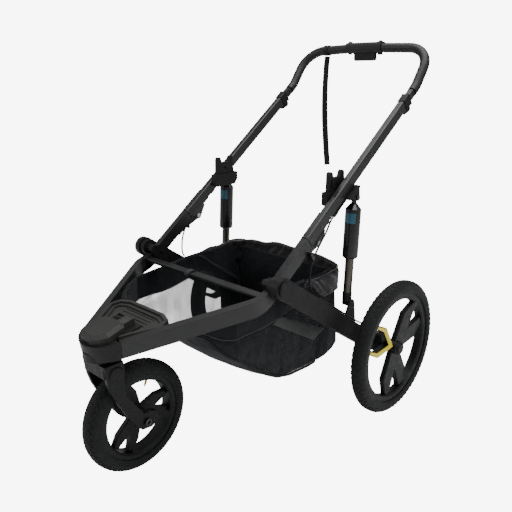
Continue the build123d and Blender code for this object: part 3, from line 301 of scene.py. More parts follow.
MATERIALS = {
    "rail": painted_rail(),
    "plastic": moulded_plastic("grained_black_plastic", (0.0058, 0.0058, 0.0059), 0.50),
    "nose": moulded_plastic("nose_grey_plastic", (0.0275, 0.0275, 0.0259), 0.56, 1300.0),
    "nose_dark": moulded_plastic("nose_shell_plastic", (0.0096, 0.0099, 0.0091), 0.46, 1300.0),
    "wheel": moulded_plastic("wheel_nylon", (0.0069, 0.0072, 0.0077), 0.48, 1100.0, 0.08),
    "tyre": tyre_rubber(),
    "leather": grip_leather(),
    "housing": moulded_plastic("handle_housing_plastic", (0.0176, 0.0176, 0.0171), 0.6, 1600.0),
    "yellow": gloss_plastic("yellow_plastic", (0.80, 0.64, 0.012), 0.32),
    "teal": gloss_plastic("teal_window", (0.012, 0.085, 0.125), 0.2, Coat_Weight=0.6,
                          Coat_Roughness=0.08),
    "damper": gloss_plastic("gloss_black_damper", (0.0033, 0.0033, 0.0035), 0.24,
                            Coat_Weight=0.25),
    "steel": metal("bright_steel", (0.50, 0.50, 0.50), 0.32),
    "rod": metal("bronze_grey_rod", (0.115, 0.105, 0.088), 0.36),
    "screw": metal("black_zinc", (0.10, 0.10, 0.10), 0.38),
    "brass": metal("valve_brass", (0.66, 0.46, 0.20), 0.3),
    "sheath": moulded_plastic("cable_sheath", (0.0066, 0.0066, 0.0066), 0.35, 900.0),
    "cloth": woven_cloth("basket_cloth", (0.0047, 0.0055, 0.0074), (0.011, 0.0127, 0.016)),
    "hem": woven_cloth("basket_hem_cloth", (0.0088, 0.008, 0.0096), (0.022, 0.0204, 0.0237),
                       700.0, 0.7, 0.5),
    "mesh": see_through_mesh(),
    "binding": webbing("binding_tape", (0.0033, 0.0033, 0.0039), (0.0099, 0.0099, 0.011)),
    "edge_tape": webbing("blue_grey_edge_tape", (0.0121, 0.0149, 0.0182), (0.033, 0.0396, 0.0468)),
    "piping": webbing("pale_piping", (0.055, 0.055, 0.0523), (0.165, 0.165, 0.154), 300.0),
    "striped": webbing("reflective_tape", (0.0165, 0.0187, 0.022), (0.0688, 0.077, 0.0825), 120.0),
    "patch": reflective_print(),
    "strap": webbing("wrist_webbing", (0.0039, 0.0039, 0.0044), (0.0143, 0.0149, 0.0165)),
    "stitch": webbing("stitch_thread", (0.011, 0.011, 0.011), (0.0385, 0.0385, 0.0374), 900.0),
}

# Finish of every CAD node that stays in view; a name without its side covers both.
NODE_FINISH = {
    "lower_rail": "rail", "upper_rail": "rail", "cross_bar": "rail", "handlebar_tube": "rail",
    "nose_housing": "nose_dark", "nose_cap": "nose", "footrest": "nose", "swivel_lock": "plastic",
    "steering_bearings": "steel", "pivot_brackets": "plastic", "bracket_screws": "screw",
    "pivot_pins": "plastic", "brake_cables": "sheath", "arm_cable": "sheath",
    "hinge_knuckles": "rail", "fold_pins": "steel", "strut_brackets": "plastic",
    "strut_pins": "screw", "adapter_sockets": "plastic", "seat_adapters": "plastic",
    "rail_rivets": "screw", "top_collars": "plastic", "grips": "leather",
    "handle_housing": "housing", "brake_lever": "plastic", "lever_lock": "plastic",
    "fork": "plastic", "front_axle": "screw", "front_rim": "wheel", "rim": "wheel",
    "hub_cap": "plastic", "front_valve": "brass", "pivot_bush": "steel", "rear_arm": "plastic",
    "bezel": "yellow", "axle": "steel", "strut_body": "damper", "strut_window": "teal",
    "strut_rod": "rod", "strut_foot": "plastic", "strut_spring": "steel",
}

# Width in millimetres of the small bevel on the long edges of the plain tubes.
ROUNDED = {"lower_rail": 1.6, "nose_housing": 1.8, "rear_arm": 1.2, "cross_bar": 1.0}
SHARP_EDGE = math.radians(50)


# ---------------------------------------------------------------- shared ways to make a piece
SPAN_STEPS = 16
TAPE_ROWS = 4
NO_LENGTH = 1e-4


def finished(bm, name, body, finish, replaces=(), thickness=0.0, smooth=True):
    """Turns a bmesh, in millimetres from the rear axle's line, into a piece on a body."""
    for vertex in bm.verts:
        vertex.co = place(*vertex.co)
    mesh = bpy.data.meshes.new(name)
    bm.to_mesh(mesh)
    bm.free()
    piece = bpy.data.objects.new(name, mesh)
    bpy.context.scene.collection.objects.link(piece)
    mesh.materials.append(MATERIALS[finish])
    for polygon in mesh.polygons:
        polygon.use_smooth = smooth
    if thickness:
        wall = piece.modifiers.new("wall", "SOLIDIFY")
        wall.thickness = thickness * MM
        wall.offset = 0.0
    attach(piece, body)
    if replaces:
        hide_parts(*replaces)
    return piece


def panel(columns, rows, surface, size):
    """Grid whose points are laid on a surface(u, v), with a UV map of its size in metres."""
    bm = bmesh.new()
    bmesh.ops.create_grid(bm, x_segments=columns, y_segments=rows, size=0.5, calc_uvs=True)
    layer = bm.loops.layers.uv.verify()
    width, height = size
    for face in bm.faces:
        for loop in face.loops:
            u, v = loop.vert.co.x + 0.5, loop.vert.co.y + 0.5
            loop[layer].uv = (u * width, v * height)
    for vertex in bm.verts:
        vertex.co = Vector(surface(vertex.co.x + 0.5, vertex.co.y + 0.5))
    return bm


def evenly(low, high, count):
    """Numbers from low to high at even distances."""
    return [low + (high - low) * i / (count - 1) for i in range(count)]


def spline_points(points, count):
    """Evenly spread points of a smooth line through the given ones, and the line's length."""
    fine = []
    last = len(points) - 1
    for i in range(last):
        a, b = Vector(points[max(i - 1, 0)]), Vector(points[i])
        c, d = Vector(points[i + 1]), Vector(points[min(i + 2, last)])
        for k in range(SPAN_STEPS):
            t = k / SPAN_STEPS
            fine.append(0.5 * ((2 * b) + (c - a) * t + (2 * a - 5 * b + 4 * c - d) * t * t
                               + (3 * b - a - 3 * c + d) * t ** 3))
    fine.append(Vector(points[-1]))
    lengths = [0.0]
    for a, b in zip(fine, fine[1:]):
        lengths.append(lengths[-1] + (b - a).length)
    spread = []
    index = 0
    for k in range(count):
        at = lengths[-1] * k / (count - 1)
        while index < len(fine) - 2 and lengths[index + 1] < at:
            index += 1
        span = lengths[index + 1] - lengths[index]
        t = (at - lengths[index]) / span if span else 0.0
        spread.append(fine[index].lerp(fine[index + 1], t))
    return spread, lengths[-1]


def heading(centres, index):
    """Direction of a line of points at one of them."""
    ahead, behind = centres[min(index + 1, len(centres) - 1)], centres[max(index - 1, 0)]
    return (ahead - behind).normalized()


def tape(points, width, across, count=60, lift=0.0, twist=None):
    """Flat band along a line; across is the direction of its width, which twist(u) turns."""
    centres, length = spline_points(points, count)

    def surface(u, v):
        index = round(u * (count - 1))
        ahead = heading(centres, index)
        side = Vector(across)
        side = (side - ahead * side.dot(ahead)).normalized()
        if twist:
            side = Matrix.Rotation(twist(u), 3, ahead) @ side
        return centres[index] + side * width * (v - 0.5) + ahead.cross(side) * lift

    return panel(count - 1, TAPE_ROWS, surface, (length * MM, width * MM))


def cord(points, radius, count, sides):
    """Round cord along a smooth line, closed at both ends."""
    centres = spline_points(points, count)[0]
    bm = bmesh.new()
    rings = []
    side = Vector((0, 0, 1))
    for i, here in enumerate(centres):
        ahead = heading(centres, i)
        side = (side - ahead * side.dot(ahead))
        side = side.normalized() if side.length > NO_LENGTH else ahead.orthogonal().normalized()
        made = bmesh.ops.create_circle(bm, cap_ends=i in (0, count - 1), segments=sides,
                                       radius=radius)
        turn = Matrix((side, ahead.cross(side), ahead)).transposed().to_4x4()
        bmesh.ops.transform(bm, matrix=Matrix.Translation(here) @ turn, verts=made["verts"])
        rings.append(made["verts"])
    for a, b in zip(rings, rings[1:]):
        edges = [e for ring in (a, b) for v in ring for e in v.link_edges
                 if e.other_vert(v) in ring]
        bmesh.ops.bridge_loops(bm, edges=list(dict.fromkeys(edges)))
    bmesh.ops.recalc_face_normals(bm, faces=bm.faces)
    return bm


def block(size, centre, bevel, segments=2):
    """Rounded box in millimetres."""
    bm = bmesh.new()
    bmesh.ops.create_cube(bm, size=1.0)
    bmesh.ops.scale(bm, vec=size, verts=bm.verts)
    bmesh.ops.bevel(bm, geom=bm.edges[:], offset=bevel, offset_type="OFFSET", segments=segments,
                    profile=0.5, affect="EDGES", material=-1)
    bmesh.ops.translate(bm, vec=centre, verts=bm.verts)
    return bm


def add(target, other):
    """Adds one bmesh to another and frees it."""
    mesh = bpy.data.meshes.new("joined")
    other.to_mesh(mesh)
    other.free()
    target.from_mesh(mesh)
    bpy.data.meshes.remove(mesh)
    return target


def loop_round(x, y, z, half_depth, half_height, count):
    """Closed oval of points round a bar that lies along x."""
    return [(x, y + half_depth * math.sin(turn), z + half_height * math.cos(turn))
            for turn in evenly(0, 2 * math.pi, count)]


def mirrored(line, sign):
    """The left side's line, or its mirror image on the right."""
    return [(sign * x, y, z) for x, y, z in line]


# ---------------------------------------------------------------- wheels
REAR_TRACK = 336.0
TYRE_WALL = 4.0
# Each tyre's body, place along x and y, radius, half its width, and its bead's radius.
TYRES = {
    "front_tyre": ("front_wheel", 0.0, -678.0, 149.0, 28.0, 113.0),
    "left_tyre": ("left_rear_wheel", REAR_TRACK, 0.0, 200.0, 23.0, 165.0),
    "right_tyre": ("right_rear_wheel", -REAR_TRACK, 0.0, 200.0, 23.0, 165.0),
}

OUTER_STEPS, INNER_STEPS = 30, 12
TREAD_PITCH = 4.6
# The ribs and knobs lie between these leans from the crown, in degrees.
RIB_END, KNOB_END, SHOULDER_START, SHOULDER_END = 19, 34, 36, 52
RIB_HEIGHT = 0.8
SHOULDER_SHARE = 0.9
LINING_GAP = 0.5
MERGE_GAP = 0.01


def section(reach, crown, bead_radius, count):
    """Round of the tyre's section from one bead over the crown to the other."""
    bead = math.asin((bead_radius - crown) / reach)
    angles = [bead + (math.pi - 2 * bead) * i / count for i in range(count + 1)]
    return [(reach * math.cos(angle), crown + reach * math.sin(angle)) for angle in angles]


def tread_tyre(centre, radius, half, bead_radius, knob):
    """Carcass spun about the axle, with ribs in the middle and knobs at the shoulders."""
    crown = radius - half
    inner = half - TYRE_WALL
    profile = section(half - knob, crown, bead_radius, OUTER_STEPS)
    profile += reversed(section(inner, crown, bead_radius, INNER_STEPS))
    bm = bmesh.new()
    verts = [bm.verts.new((x, 0, r)) for x, r in profile]
    edges = [bm.edges.new(pair) for pair in zip(verts, verts[1:] + verts[:1])]
    around = round(2 * math.pi * radius / TREAD_PITCH / 4) * 4
    bmesh.ops.spin(bm, geom=verts + edges, cent=(0, 0, 0), axis=(1, 0, 0), angle=2 * math.pi,
                   steps=around, use_merge=True)
    bmesh.ops.remove_doubles(bm, verts=bm.verts, dist=MERGE_GAP)
    bmesh.ops.recalc_face_normals(bm, faces=bm.faces)
    ribs, knobs, shoulders = [], [], []
    for face in bm.faces:
        middle = face.calc_center_median()
        reach = math.hypot(middle.y, middle.z)
        lean = math.degrees(math.atan2(abs(middle.x), reach - crown))
        ring = Vector((0, middle.y, middle.z)).normalized() * crown
        if (middle - ring).length < inner + LINING_GAP:
            continue
        turn = math.atan2(middle.z, middle.y) / (2 * math.pi) * around
        step = int(math.floor(turn + 0.01)) % around
        if lean < RIB_END and step % 2 == 0:
            ribs.append(face)
        elif RIB_END < lean < KNOB_END and step % 4 in (0, 1):
            knobs.append(face)
        elif SHOULDER_START < lean < SHOULDER_END and step % 4 in (2, 3):
            shoulders.append(face)
    for faces, height in ((ribs, RIB_HEIGHT), (knobs, knob), (shoulders, knob * SHOULDER_SHARE)):
        raised = bmesh.ops.extrude_face_region(bm, geom=faces)
        bmesh.ops.delete(bm, geom=faces, context="FACES_ONLY")
        tops = [part for part in raised["geom"] if isinstance(part, bmesh.types.BMVert)]
        for vertex in tops:
            ring = Vector((0, vertex.co.y, vertex.co.z)).normalized() * crown
            vertex.co += (vertex.co - ring).normalized() * height
    bmesh.ops.recalc_face_normals(bm, faces=bm.faces)
    bmesh.ops.translate(bm, vec=centre, verts=bm.verts)
    return bm


# ---------------------------------------------------------------- basket
FRONT_Y, REAR_Y = -598.0, -104.0
MESH_END_Y, CORNER_START_Y = -185.0, -187.0
FRONT_HALF, FLARE, REAR_HALF = 141.0, 0.6152, 198.0
BAND_BULGE, SIDE_BULGE = 4.0, 8.0

# Lines along a side panel, as (y, z) points: the band's top, its seam, and the bottom edge.
BAND_TOP = ((-600, 398), (-585, 414), (-560, 424), (-537, 424), (-417, 432), (-323, 440),
            (-280, 441), (-200, 441), (-104, 448))
BAND_LOW = ((-600, 392), (-576, 388), (-560, 377), (-545, 367), (-520, 360), (-472, 361),
            (-417, 359), (-382, 362), (-352, 367), (-300, 377), (-264, 374), (-226, 351),
            (-167, 313), (-104, 268))
SIDE_LOW = ((-600, 388), (-580, 382), (-568, 375), (-553, 353), (-539, 334), (-515, 313),
            (-480, 287), (-434, 246), (-400, 222), (-360, 199), (-309, 185), (-229, 179),
            (-150, 182), (-120, 190), (-104, 204))
# Where the rear wall stands at each height, as (z, y) points.
REAR_WALL = ((190, -104), (206, -96), (262, -98), (330, -106), (395, -112), (460, -113))
# The floor sheet's line in (y, z), up the rear wall at its end.
FLOOR = ((-598, 386), (-568, 366), (-540, 331), (-515, 308), (-480, 282), (-434, 242),
         (-400, 219), (-360, 197), (-309, 184), (-229, 178), (-150, 179), (-112, 186),
         (-96, 206), (-98, 262), (-106, 330), (-112, 395), (-112, 436))
WALL_Y, WALL_Z = -130, 200
SLOPE_SAG, BOTTOM_SAG = 16.0, 4.0
TURNED_EDGE = 14.0

# Thickness of each cloth panel.
CLOTH = {"floor": 1.2, "band": 1.4, "mesh": 0.8, "corner": 1.4}

# Tapes and straps of the left side, as (y, z) or (x, y, z) points.
INNER_X = 191.0
INNER_SEAMS = {
    "upper": ((-280, 434), (-267, 431), (-224, 397), (-158, 348), (-118, 318)),
    "lower": ((-302, 381), (-264, 377), (-226, 351), (-167, 313), (-118, 280)),
}
RIM_LINE = ((208, -262, 430), (214, -210, 432), (215, -160, 433), (212, -112, 434))
SIDE_STRAP = ((208, -236, 436), (214, -205, 400), (216, -165, 352), (214, -128, 318),
              (206, -100, 300))
RIM_TAPE_WIDTH, SIDE_STRAP_WIDTH = 13.0, 17.0
BUCKLE_SIZE, BUCKLE_PLACE, BUCKLE_ROUND = (9, 26, 34), (217, -150, 338), 2.5
LABEL = ((-377, 357), (-213, 255), (-166, 275), (-346, 371))
LABEL_SIZE, LABEL_PROUD = (0.19, 0.03), 1.4
BAR_LOOP, BAR_LOOP_HALF, BAR_LOOP_WIDTH = (-40.0, -440, 458), (15.5, 8.5), 16.0

HEM_PATH = ((-205, -300, 438), (-208, -262, 441), (-210, -215, 443), (-209, -165, 446),
            (-200, -128, 450), (-166, -110, 455), (-104, -106, 463), (-40, -104, 469),
            (20, -103, 471), (80, -103, 469), (140, -104, 463), (188, -104, 456),
            (208, -112, 449), (214, -150, 446), (213, -200, 442), (209, -250, 440))
HEM_COLUMNS, HEM_ROWS = 220, 26
HEM_DROP, HEM_LIP = 52.0, 12
HEM_SLANT = 60
HEM_ROLL = 5.0
# Depth of the collar's wide and fine ripples, and how long each is.
HEM_RIPPLE, HEM_RIPPLE_LENGTH = 6.5, 24.0
HEM_CREASE, HEM_CREASE_LENGTH = 2.6, 11.0
HEM_WAVE, HEM_WAVE_LENGTH = 5.0, 55.0


def half_width(y):
    """Half the basket's width, which follows the front rails and then stays even."""
    return min(FRONT_HALF + (y + 600.0) * FLARE, REAR_HALF)


def crumple(point, depth, scale, stretch=(1.0, 1.0, 1.0)):
    """Soft folds: a small steady offset for a point on the cloth, with finer folds on top."""
    spot = Vector((point[0] * stretch[0], point[1] * stretch[1], point[2] * stretch[2])) / scale
    finer = spot * 2.3 + Vector((7, 3, 5))
    return noise.noise(spot) * depth + noise.noise(finer) * depth * 0.45


def side_folds(y, z):
    """Folds of the side panels, a little longer upwards."""
    return crumple((0, y, z), 3.0, 60.0, (1, 1, 0.6))


def side_panel(sign, top_line, low_line, bulge, start=FRONT_Y, end=REAR_Y, columns=120):
    """Side sheet between two lines, bulging outwards between them."""

    def surface(u, v):
        y = start + (end - start) * u
        low, top = level(low_line, y), level(top_line, y)
        z = low + (top - low) * v
        progress = (y - FRONT_Y) / (REAR_Y - FRONT_Y)
        y += (level(REAR_WALL, z) - REAR_Y) * eased(0.72, 1.0, progress)
        calm = 1.0 - eased(0.88, 1.0, progress)
        swell = bulge * math.sin(math.pi * min(max(v, 0), 1)) * eased(FRONT_Y, -520, y)
        fold = side_folds(y, z) * eased(FRONT_Y, -560, y)
        return (sign * (half_width(y) + (swell + fold) * calm), y, z)

    return panel(columns, 24, surface, ((end - start) * MM, 0.12))


def basket_floor():
    """Sheet from the front lip down the slope, along the bottom and up the rear wall."""
    lengths = [0.0]
    for a, b in zip(FLOOR, FLOOR[1:]):
        lengths.append(lengths[-1] + math.hypot(b[0] - a[0], b[1] - a[1]))
    at_y = [(length, point[0]) for length, point in zip(lengths, FLOOR)]
    at_z = [(length, point[1]) for length, point in zip(lengths, FLOOR)]

    def surface(u, v):
        along = v * lengths[-1]
        y, z = level(at_y, along), level(at_z, along)
        across = 2 * u - 1
        slump = 1 - across * across
        fold = crumple((across * 200, y, z), 4.0, 85.0) * eased(0.0, 0.12, 1 - abs(across))
        if y > WALL_Y and z > WALL_Z:
            return (across * (half_width(y) + 1.0), y - slump * 2 + fold, z)
        on_slope = eased(FRONT_Y, -480, y) * (1 - eased(-330, -250, y))
        sag = slump * (SLOPE_SAG * on_slope + BOTTOM_SAG * eased(-500, -300, y))
        lifted = TURNED_EDGE * eased(0.86, 1.0, abs(across)) * 0.4
        return (across * half_width(y), y - 0.45 * sag, z - 0.85 * sag + fold * 0.6 + lifted)

    return panel(64, 150, surface, (0.4, lengths[-1] * MM))


def basket_hem():
    """Gathered cloth collar round the rear rim, with slanting crumples."""
    centres, length = spline_points(HEM_PATH, HEM_COLUMNS)

    def surface(u, v):
        index = round(u * (HEM_COLUMNS - 1))
        here = centres[index]
        outward = -Vector((0, 0, 1)).cross(heading(centres, index)).normalized()
        drop = HEM_DROP * eased(0.0, 0.10, u) * eased(0.0, 0.10, 1 - u) + HEM_LIP
        along = u * length
        slant = along + v * HEM_SLANT
        ripple = noise.noise(Vector((slant / HEM_RIPPLE_LENGTH, v * 1.3, 2.0))) * HEM_RIPPLE
        ripple += noise.noise(Vector((slant / HEM_CREASE_LENGTH, v * 2.0, 9.0))) * HEM_CREASE
        depth = min(v / 0.12, 1.0)
        roll = HEM_ROLL * math.sin(min(v / 0.16, 1.0) * math.pi)
        wave = noise.noise(Vector((along / HEM_WAVE_LENGTH, 0, 4.0))) * HEM_WAVE * (1 - v)
        point = here + outward * (roll + ripple * depth * (1 - 0.5 * v) - 3.0)
        return (point.x, point.y, here.z - drop * v + roll * 0.3 + wave)

    return panel(HEM_COLUMNS - 1, HEM_ROWS, surface, (length * MM, 0.06))


def label_patch():
    """Plain patch that lies on the left side panel."""

    def surface(u, v):
        low = [LABEL[0][k] + (LABEL[1][k] - LABEL[0][k]) * u for k in (0, 1)]
        high = [LABEL[3][k] + (LABEL[2][k] - LABEL[3][k]) * u for k in (0, 1)]
        y, z = (low[k] + (high[k] - low[k]) * v for k in (0, 1))
        bottom, seam, top = level(SIDE_LOW, y), level(BAND_LOW, y), level(BAND_TOP, y)
        if z < seam:
            swell = SIDE_BULGE * math.sin(math.pi * (z - bottom) / (seam - bottom))
        else:
            swell = BAND_BULGE * math.sin(math.pi * (z - seam) / (top - seam))
        return (half_width(y) + swell + side_folds(y, z) + LABEL_PROUD, y, z)

    return panel(40, 6, surface, LABEL_SIZE)


def basket_line(start, end, count, line, sign, proud):
    """Points on a side panel along one of its lines, standing proud of it."""
    return [(sign * (half_width(y) + proud), y, level(line, y)) for y in evenly(start, end, count)]


def sewn(bm, name, finish, thickness, **more):
    """Finishes one of the basket's pieces, which all ride on the lower frame."""
    return finished(bm, name, "lower_frame", finish, thickness=thickness, **more)


def sew_side(side, sign):
    """Band, mesh and corner panel of one side, with the tapes and piping on their edges."""
    width = chosen("tape_width")
    band = side_panel(sign, BAND_TOP, BAND_LOW, BAND_BULGE)
    sewn(band, f"{side}_basket_band", "cloth", CLOTH["band"])
    mesh = side_panel(sign, BAND_LOW, SIDE_LOW, SIDE_BULGE, end=MESH_END_Y)
    sewn(mesh, f"{side}_basket_mesh", "mesh", CLOTH["mesh"])
    corner = side_panel(sign, BAND_LOW, SIDE_LOW, SIDE_BULGE, start=CORNER_START_Y, columns=24)
    sewn(corner, f"{side}_basket_corner", "cloth", CLOTH["corner"])
    top = basket_line(-598, -250, 30, BAND_TOP, sign, 0.5)
    sewn(tape(top, width, (0, 0, 1), 90, 0.9 * sign), f"{side}_top_tape", "edge_tape", 1.6)
    seam = basket_line(-592, -186, 34, BAND_LOW, sign, 1.2)
    sewn(cord(seam, 1.5, 110, 8), f"{side}_piping", "piping", 0.0)
    low = basket_line(-596, -196, 34, SIDE_LOW, sign, 0.8)
    sewn(tape(low, width, (0, 0.5, 1), 100, 0.9 * sign), f"{side}_binding", "binding", 1.6)


def strap_side(side, sign):
    """Inner tapes, reflective tape, strap and buckle of one side."""
    for name, seam in INNER_SEAMS.items():
        line = [(sign * INNER_X, y, z) for y, z in seam]
        sewn(tape(line, chosen("tape_width"), (0, 0.5, 1)), f"{side}_{name}_inner_tape",
             "edge_tape", 1.2)
    sewn(tape(mirrored(RIM_LINE, sign), RIM_TAPE_WIDTH, (0, 0, 1)), f"{side}_reflective_tape",
         "striped", 1.0)
    sewn(tape(mirrored(SIDE_STRAP, sign), SIDE_STRAP_WIDTH, (0, 0.4, 1)), f"{side}_side_strap",
         "strap", 1.6)
    place_on_side = mirrored([BUCKLE_PLACE], sign)[0]
    sewn(block(BUCKLE_SIZE, place_on_side, BUCKLE_ROUND), f"{side}_side_buckle", "plastic", 0.0)


# ---------------------------------------------------------------- handlebar
BAR_Y = 298.0
# The bar's height in the middle, and how far it falls over half its width.
BAR_Z, BAR_FALL, BAR_HALF = 1042.0, 8.0, 234.0
STRAP_X, STRAP_BAR_Z = -150.0, 1036.9
STRAP_EXIT_Z = STRAP_BAR_Z - 19.0
# The strap's way down, as offsets from its place on the bar, and a height.
STRAP_FALL = ((0, 0, STRAP_EXIT_Z), (-2, -3, 980), (-5, -4, 900), (-6, -1, 820), (-3, 2, 745),
              (3, 1, 690), (8, 0, 650))
STRAP_START, STRAP_END, STRAP_TWIST = 0.15, 0.95, math.radians(-38.0)
STRAP_LAYER, STRAP_LOOP_RADIUS = 1.5, 16.2
STITCHED_START, STITCHED_LENGTH = 82, 78
STITCH_THREAD, STITCH_LEAN = 1.1, 35
SEAM_BACK, SEAM_DOWN = 13.7, 4.6


def strap_twist(u):
    """How far the strap has turned about its own line."""
    return STRAP_TWIST * eased(STRAP_START, STRAP_END, u)


# ---------------------------------------------------------------- stage
# Places of the stage are in metres, in the shared frame.
CAMERA_LENS, CAMERA_SENSOR, CAMERA_FAR = 41.52, 36.0, 50.0
CAMERA_EYE, CAMERA_TARGET = (1.13553, -1.15469, 0.98886), (0.0, 0.02833, 0.46304)
CAMERA_ROLL = math.radians(-0.927)
FLOOR_REACH = 12.0
BACKDROP_GLOW = 8.0
AMBIENT_COLOUR, AMBIENT_LIGHT = (0.95, 0.97, 1.0, 1), 0.36
# Each lamp's name, place, aim, size, and share of the lamp power.
LAMPS = (
    ("overhead", (0.2, 0.3, 2.6), (0.0, 0.0, 0.4), 2.2, 1.0),
    ("front", (-1.2, -2.4, 1.7), (0.0, -0.2, 0.4), 1.2, 0.35),
    ("side", (2.6, 0.2, 1.5), (0.2, 0.1, 0.4), 1.2, 0.28),
)


def shown_and_lit(tree, lit, seen, surface):
    """Shows the camera one shader and lights the object with the other."""
    mix = tree.nodes.new("ShaderNodeMixShader")
    path = tree.nodes.new("ShaderNodeLightPath")
    tree.links.new(path.outputs["Is Camera Ray"], mix.inputs["Fac"])
    tree.links.new(lit, mix.inputs[1])
    tree.links.new(seen, mix.inputs[2])
    tree.links.new(mix.outputs[0], surface)


def studio_camera(scene):
    """Camera at the eye, turned to its target and rolled a little."""
    data = bpy.data.cameras.new("studio_camera")
    data.sensor_width = CAMERA_SENSOR
    data.lens = CAMERA_LENS
    data.clip_end = CAMERA_FAR
    camera = bpy.data.objects.new("studio_camera", data)
    scene.collection.objects.link(camera)
    eye = Vector(CAMERA_EYE)
    back = (eye - Vector(CAMERA_TARGET)).normalized()
    right = Vector((0, 0, 1)).cross(back).normalized()
    up = back.cross(right)
    cos, sin = math.cos(CAMERA_ROLL), math.sin(CAMERA_ROLL)
    right, up = (right * cos + up * sin, up * cos - right * sin)
    turn = Matrix((right, up, back)).transposed().to_4x4()
    camera.matrix_world = Matrix.Translation(eye) @ turn
    scene.camera = camera


def studio_floor(scene):
    """Wide pale floor."""
    bm = bmesh.new()
    bmesh.ops.create_grid(bm, x_segments=1, y_segments=1, size=FLOOR_REACH)
    mesh = bpy.data.meshes.new("studio_floor")
    bm.to_mesh(mesh)
    bm.free()
    floor = bpy.data.objects.new("studio_floor", mesh)
    scene.collection.objects.link(floor)
    paint = Nodes("floor_paint", tuple(settings().floor_colour), 0.9, Specular_IOR_Level=0.0)
    paint.tint(paint.cloud(3.0), 0.99, 1.0)
    glow = paint.node("Emission", Strength=BACKDROP_GLOW)
    shown_and_lit(paint.tree, paint.shader.outputs[0], glow.outputs[0],
                  paint.out.inputs["Surface"])
    mesh.materials.append(paint.material)


def studio_world(scene):
    """Bright backdrop over a soft ambient light."""
    world = bpy.data.worlds.new("studio_world")
    scene.world = world
    world.use_nodes = True
    tree = world.node_tree
    tree.nodes.clear()
    out = tree.nodes.new("ShaderNodeOutputWorld")
    seen = tree.nodes.new("ShaderNodeBackground")
    lit = tree.nodes.new("ShaderNodeBackground")
    seen.inputs["Color"].default_value = (1, 1, 1, 1)
    seen.inputs["Strength"].default_value = BACKDROP_GLOW
    lit.inputs["Color"].default_value = AMBIENT_COLOUR
    lit.inputs["Strength"].default_value = AMBIENT_LIGHT
    shown_and_lit(tree, lit.outputs[0], seen.outputs[0], out.inputs["Surface"])


def studio_lamps(scene):
    """Three soft square lamps."""
    for name, spot, aim, size, share in LAMPS:
        data = bpy.data.lights.new(name + "_lamp", "AREA")
        data.size = size
        data.energy = settings().lamp_power * share
        lamp = bpy.data.objects.new(name + "_lamp", data)
        scene.collection.objects.link(lamp)
        lamp.location = spot
        aimed = (Vector(aim) - Vector(spot)).to_track_quat("-Z", "Y")
        lamp.rotation_euler = aimed.to_euler()


# ---------------------------------------------------------------- settings
class StrollerFinish(bpy.types.PropertyGroup):
    """Sizes and colours that a user may change before building."""

    knob_height: FloatProperty(
        name="Tread height", description="Height of the tyre's knobs",
        subtype="DISTANCE", unit="LENGTH", default=0.0016, min=0.0002, max=0.003, precision=4)
    strap_width: FloatProperty(
        name="Strap width", description="Width of the wrist strap's webbing",
        subtype="DISTANCE", unit="LENGTH", default=0.020, min=0.010, max=0.030, precision=4)
    tape_width: FloatProperty(
        name="Edge tape width", description="Width of the tape along the basket's edges",
        subtype="DISTANCE", unit="LENGTH", default=0.008, min=0.003, max=0.015, precision=4)
    stitch_pitch: FloatProperty(
        name="Stitch pitch", description="Distance between stitches on the grip",
        subtype="DISTANCE", unit="LENGTH", default=0.006, min=0.002, max=0.012, precision=4)
    floor_colour: FloatVectorProperty(
        name="Floor", description="Colour of the studio floor", subtype="COLOR",
        default=(0.93, 0.93, 0.93), min=0, max=1)
    lamp_power: FloatProperty(
        name="Lamp power", description="Power of the overhead lamp", subtype="POWER",
        default=62.0, min=1)


def settings():
    return bpy.context.scene.stroller_finish


def chosen(name):
    """A length that the user set, in millimetres."""
    return round(getattr(settings(), name) / MM, 3)


# ---------------------------------------------------------------- operators
class STROLLER_OT_stage(bpy.types.Operator):
    """Builds the pale floor, the soft studio lights and the camera"""

    bl_idname = "stroller.stage"
    bl_label = "Stage"

    def execute(self, context):
        studio_camera(context.scene)
        studio_floor(context.scene)
        studio_world(context.scene)
        studio_lamps(context.scene)
        return {"FINISHED"}


class STROLLER_OT_frame_finish(bpy.types.Operator):
    """Gives every CAD piece that stays in view its material"""

    bl_idname = "stroller.frame_finish"
    bl_label = "Frame finishes"

    def execute(self, context):
        for name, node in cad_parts.items():
            plain = name.replace("left_", "").replace("right_", "")
            if plain not in NODE_FINISH:
                continue
            node.data.materials.clear()
            node.data.materials.append(MATERIALS[NODE_FINISH[plain]])
            if plain in ROUNDED:
                edge = node.modifiers.new("edge", "BEVEL")
                edge.width = ROUNDED[plain] * MM
                edge.segments = 2
                edge.limit_method = "ANGLE"
                edge.angle_limit = SHARP_EDGE
        return {"FINISHED"}


class STROLLER_OT_tyres(bpy.types.Operator):
    """Builds the three treaded tyres"""

    bl_idname = "stroller.tyres"
    bl_label = "Tyres"

    def execute(self, context):
        for node, (body, x, y, radius, half, bead_radius) in TYRES.items():
            bm = tread_tyre((x, y, radius), radius, half, bead_radius, chosen("knob_height"))
            finished(bm, node + "_tread", body, "tyre", replaces=[node], smooth=False)
        return {"FINISHED"}


class STROLLER_OT_basket(bpy.types.Operator):
    """Sews the storage basket from its cloth and mesh panels"""

    bl_idname = "stroller.basket"
    bl_label = "Basket"

    def execute(self, context):
        floor = sewn(basket_floor(), "basket_floor_panel", "cloth", CLOTH["floor"],
                     replaces=["basket"])
        for side, sign in SIDES.items():
            sew_side(side, sign)
        for side, sign in SIDES.items():
            strap_side(side, sign)
        sewn(label_patch(), "left_label_patch", "patch", 1.0)
        bar_loop = loop_round(*BAR_LOOP, *BAR_LOOP_HALF, 25)
        sewn(tape(bar_loop, BAR_LOOP_WIDTH, (1, 0, 0)), "cross_bar_loop", "edge_tape", 1.4)
        sewn(basket_hem(), "basket_hem_collar", "hem", 1.6)
        return {"FINISHED"}


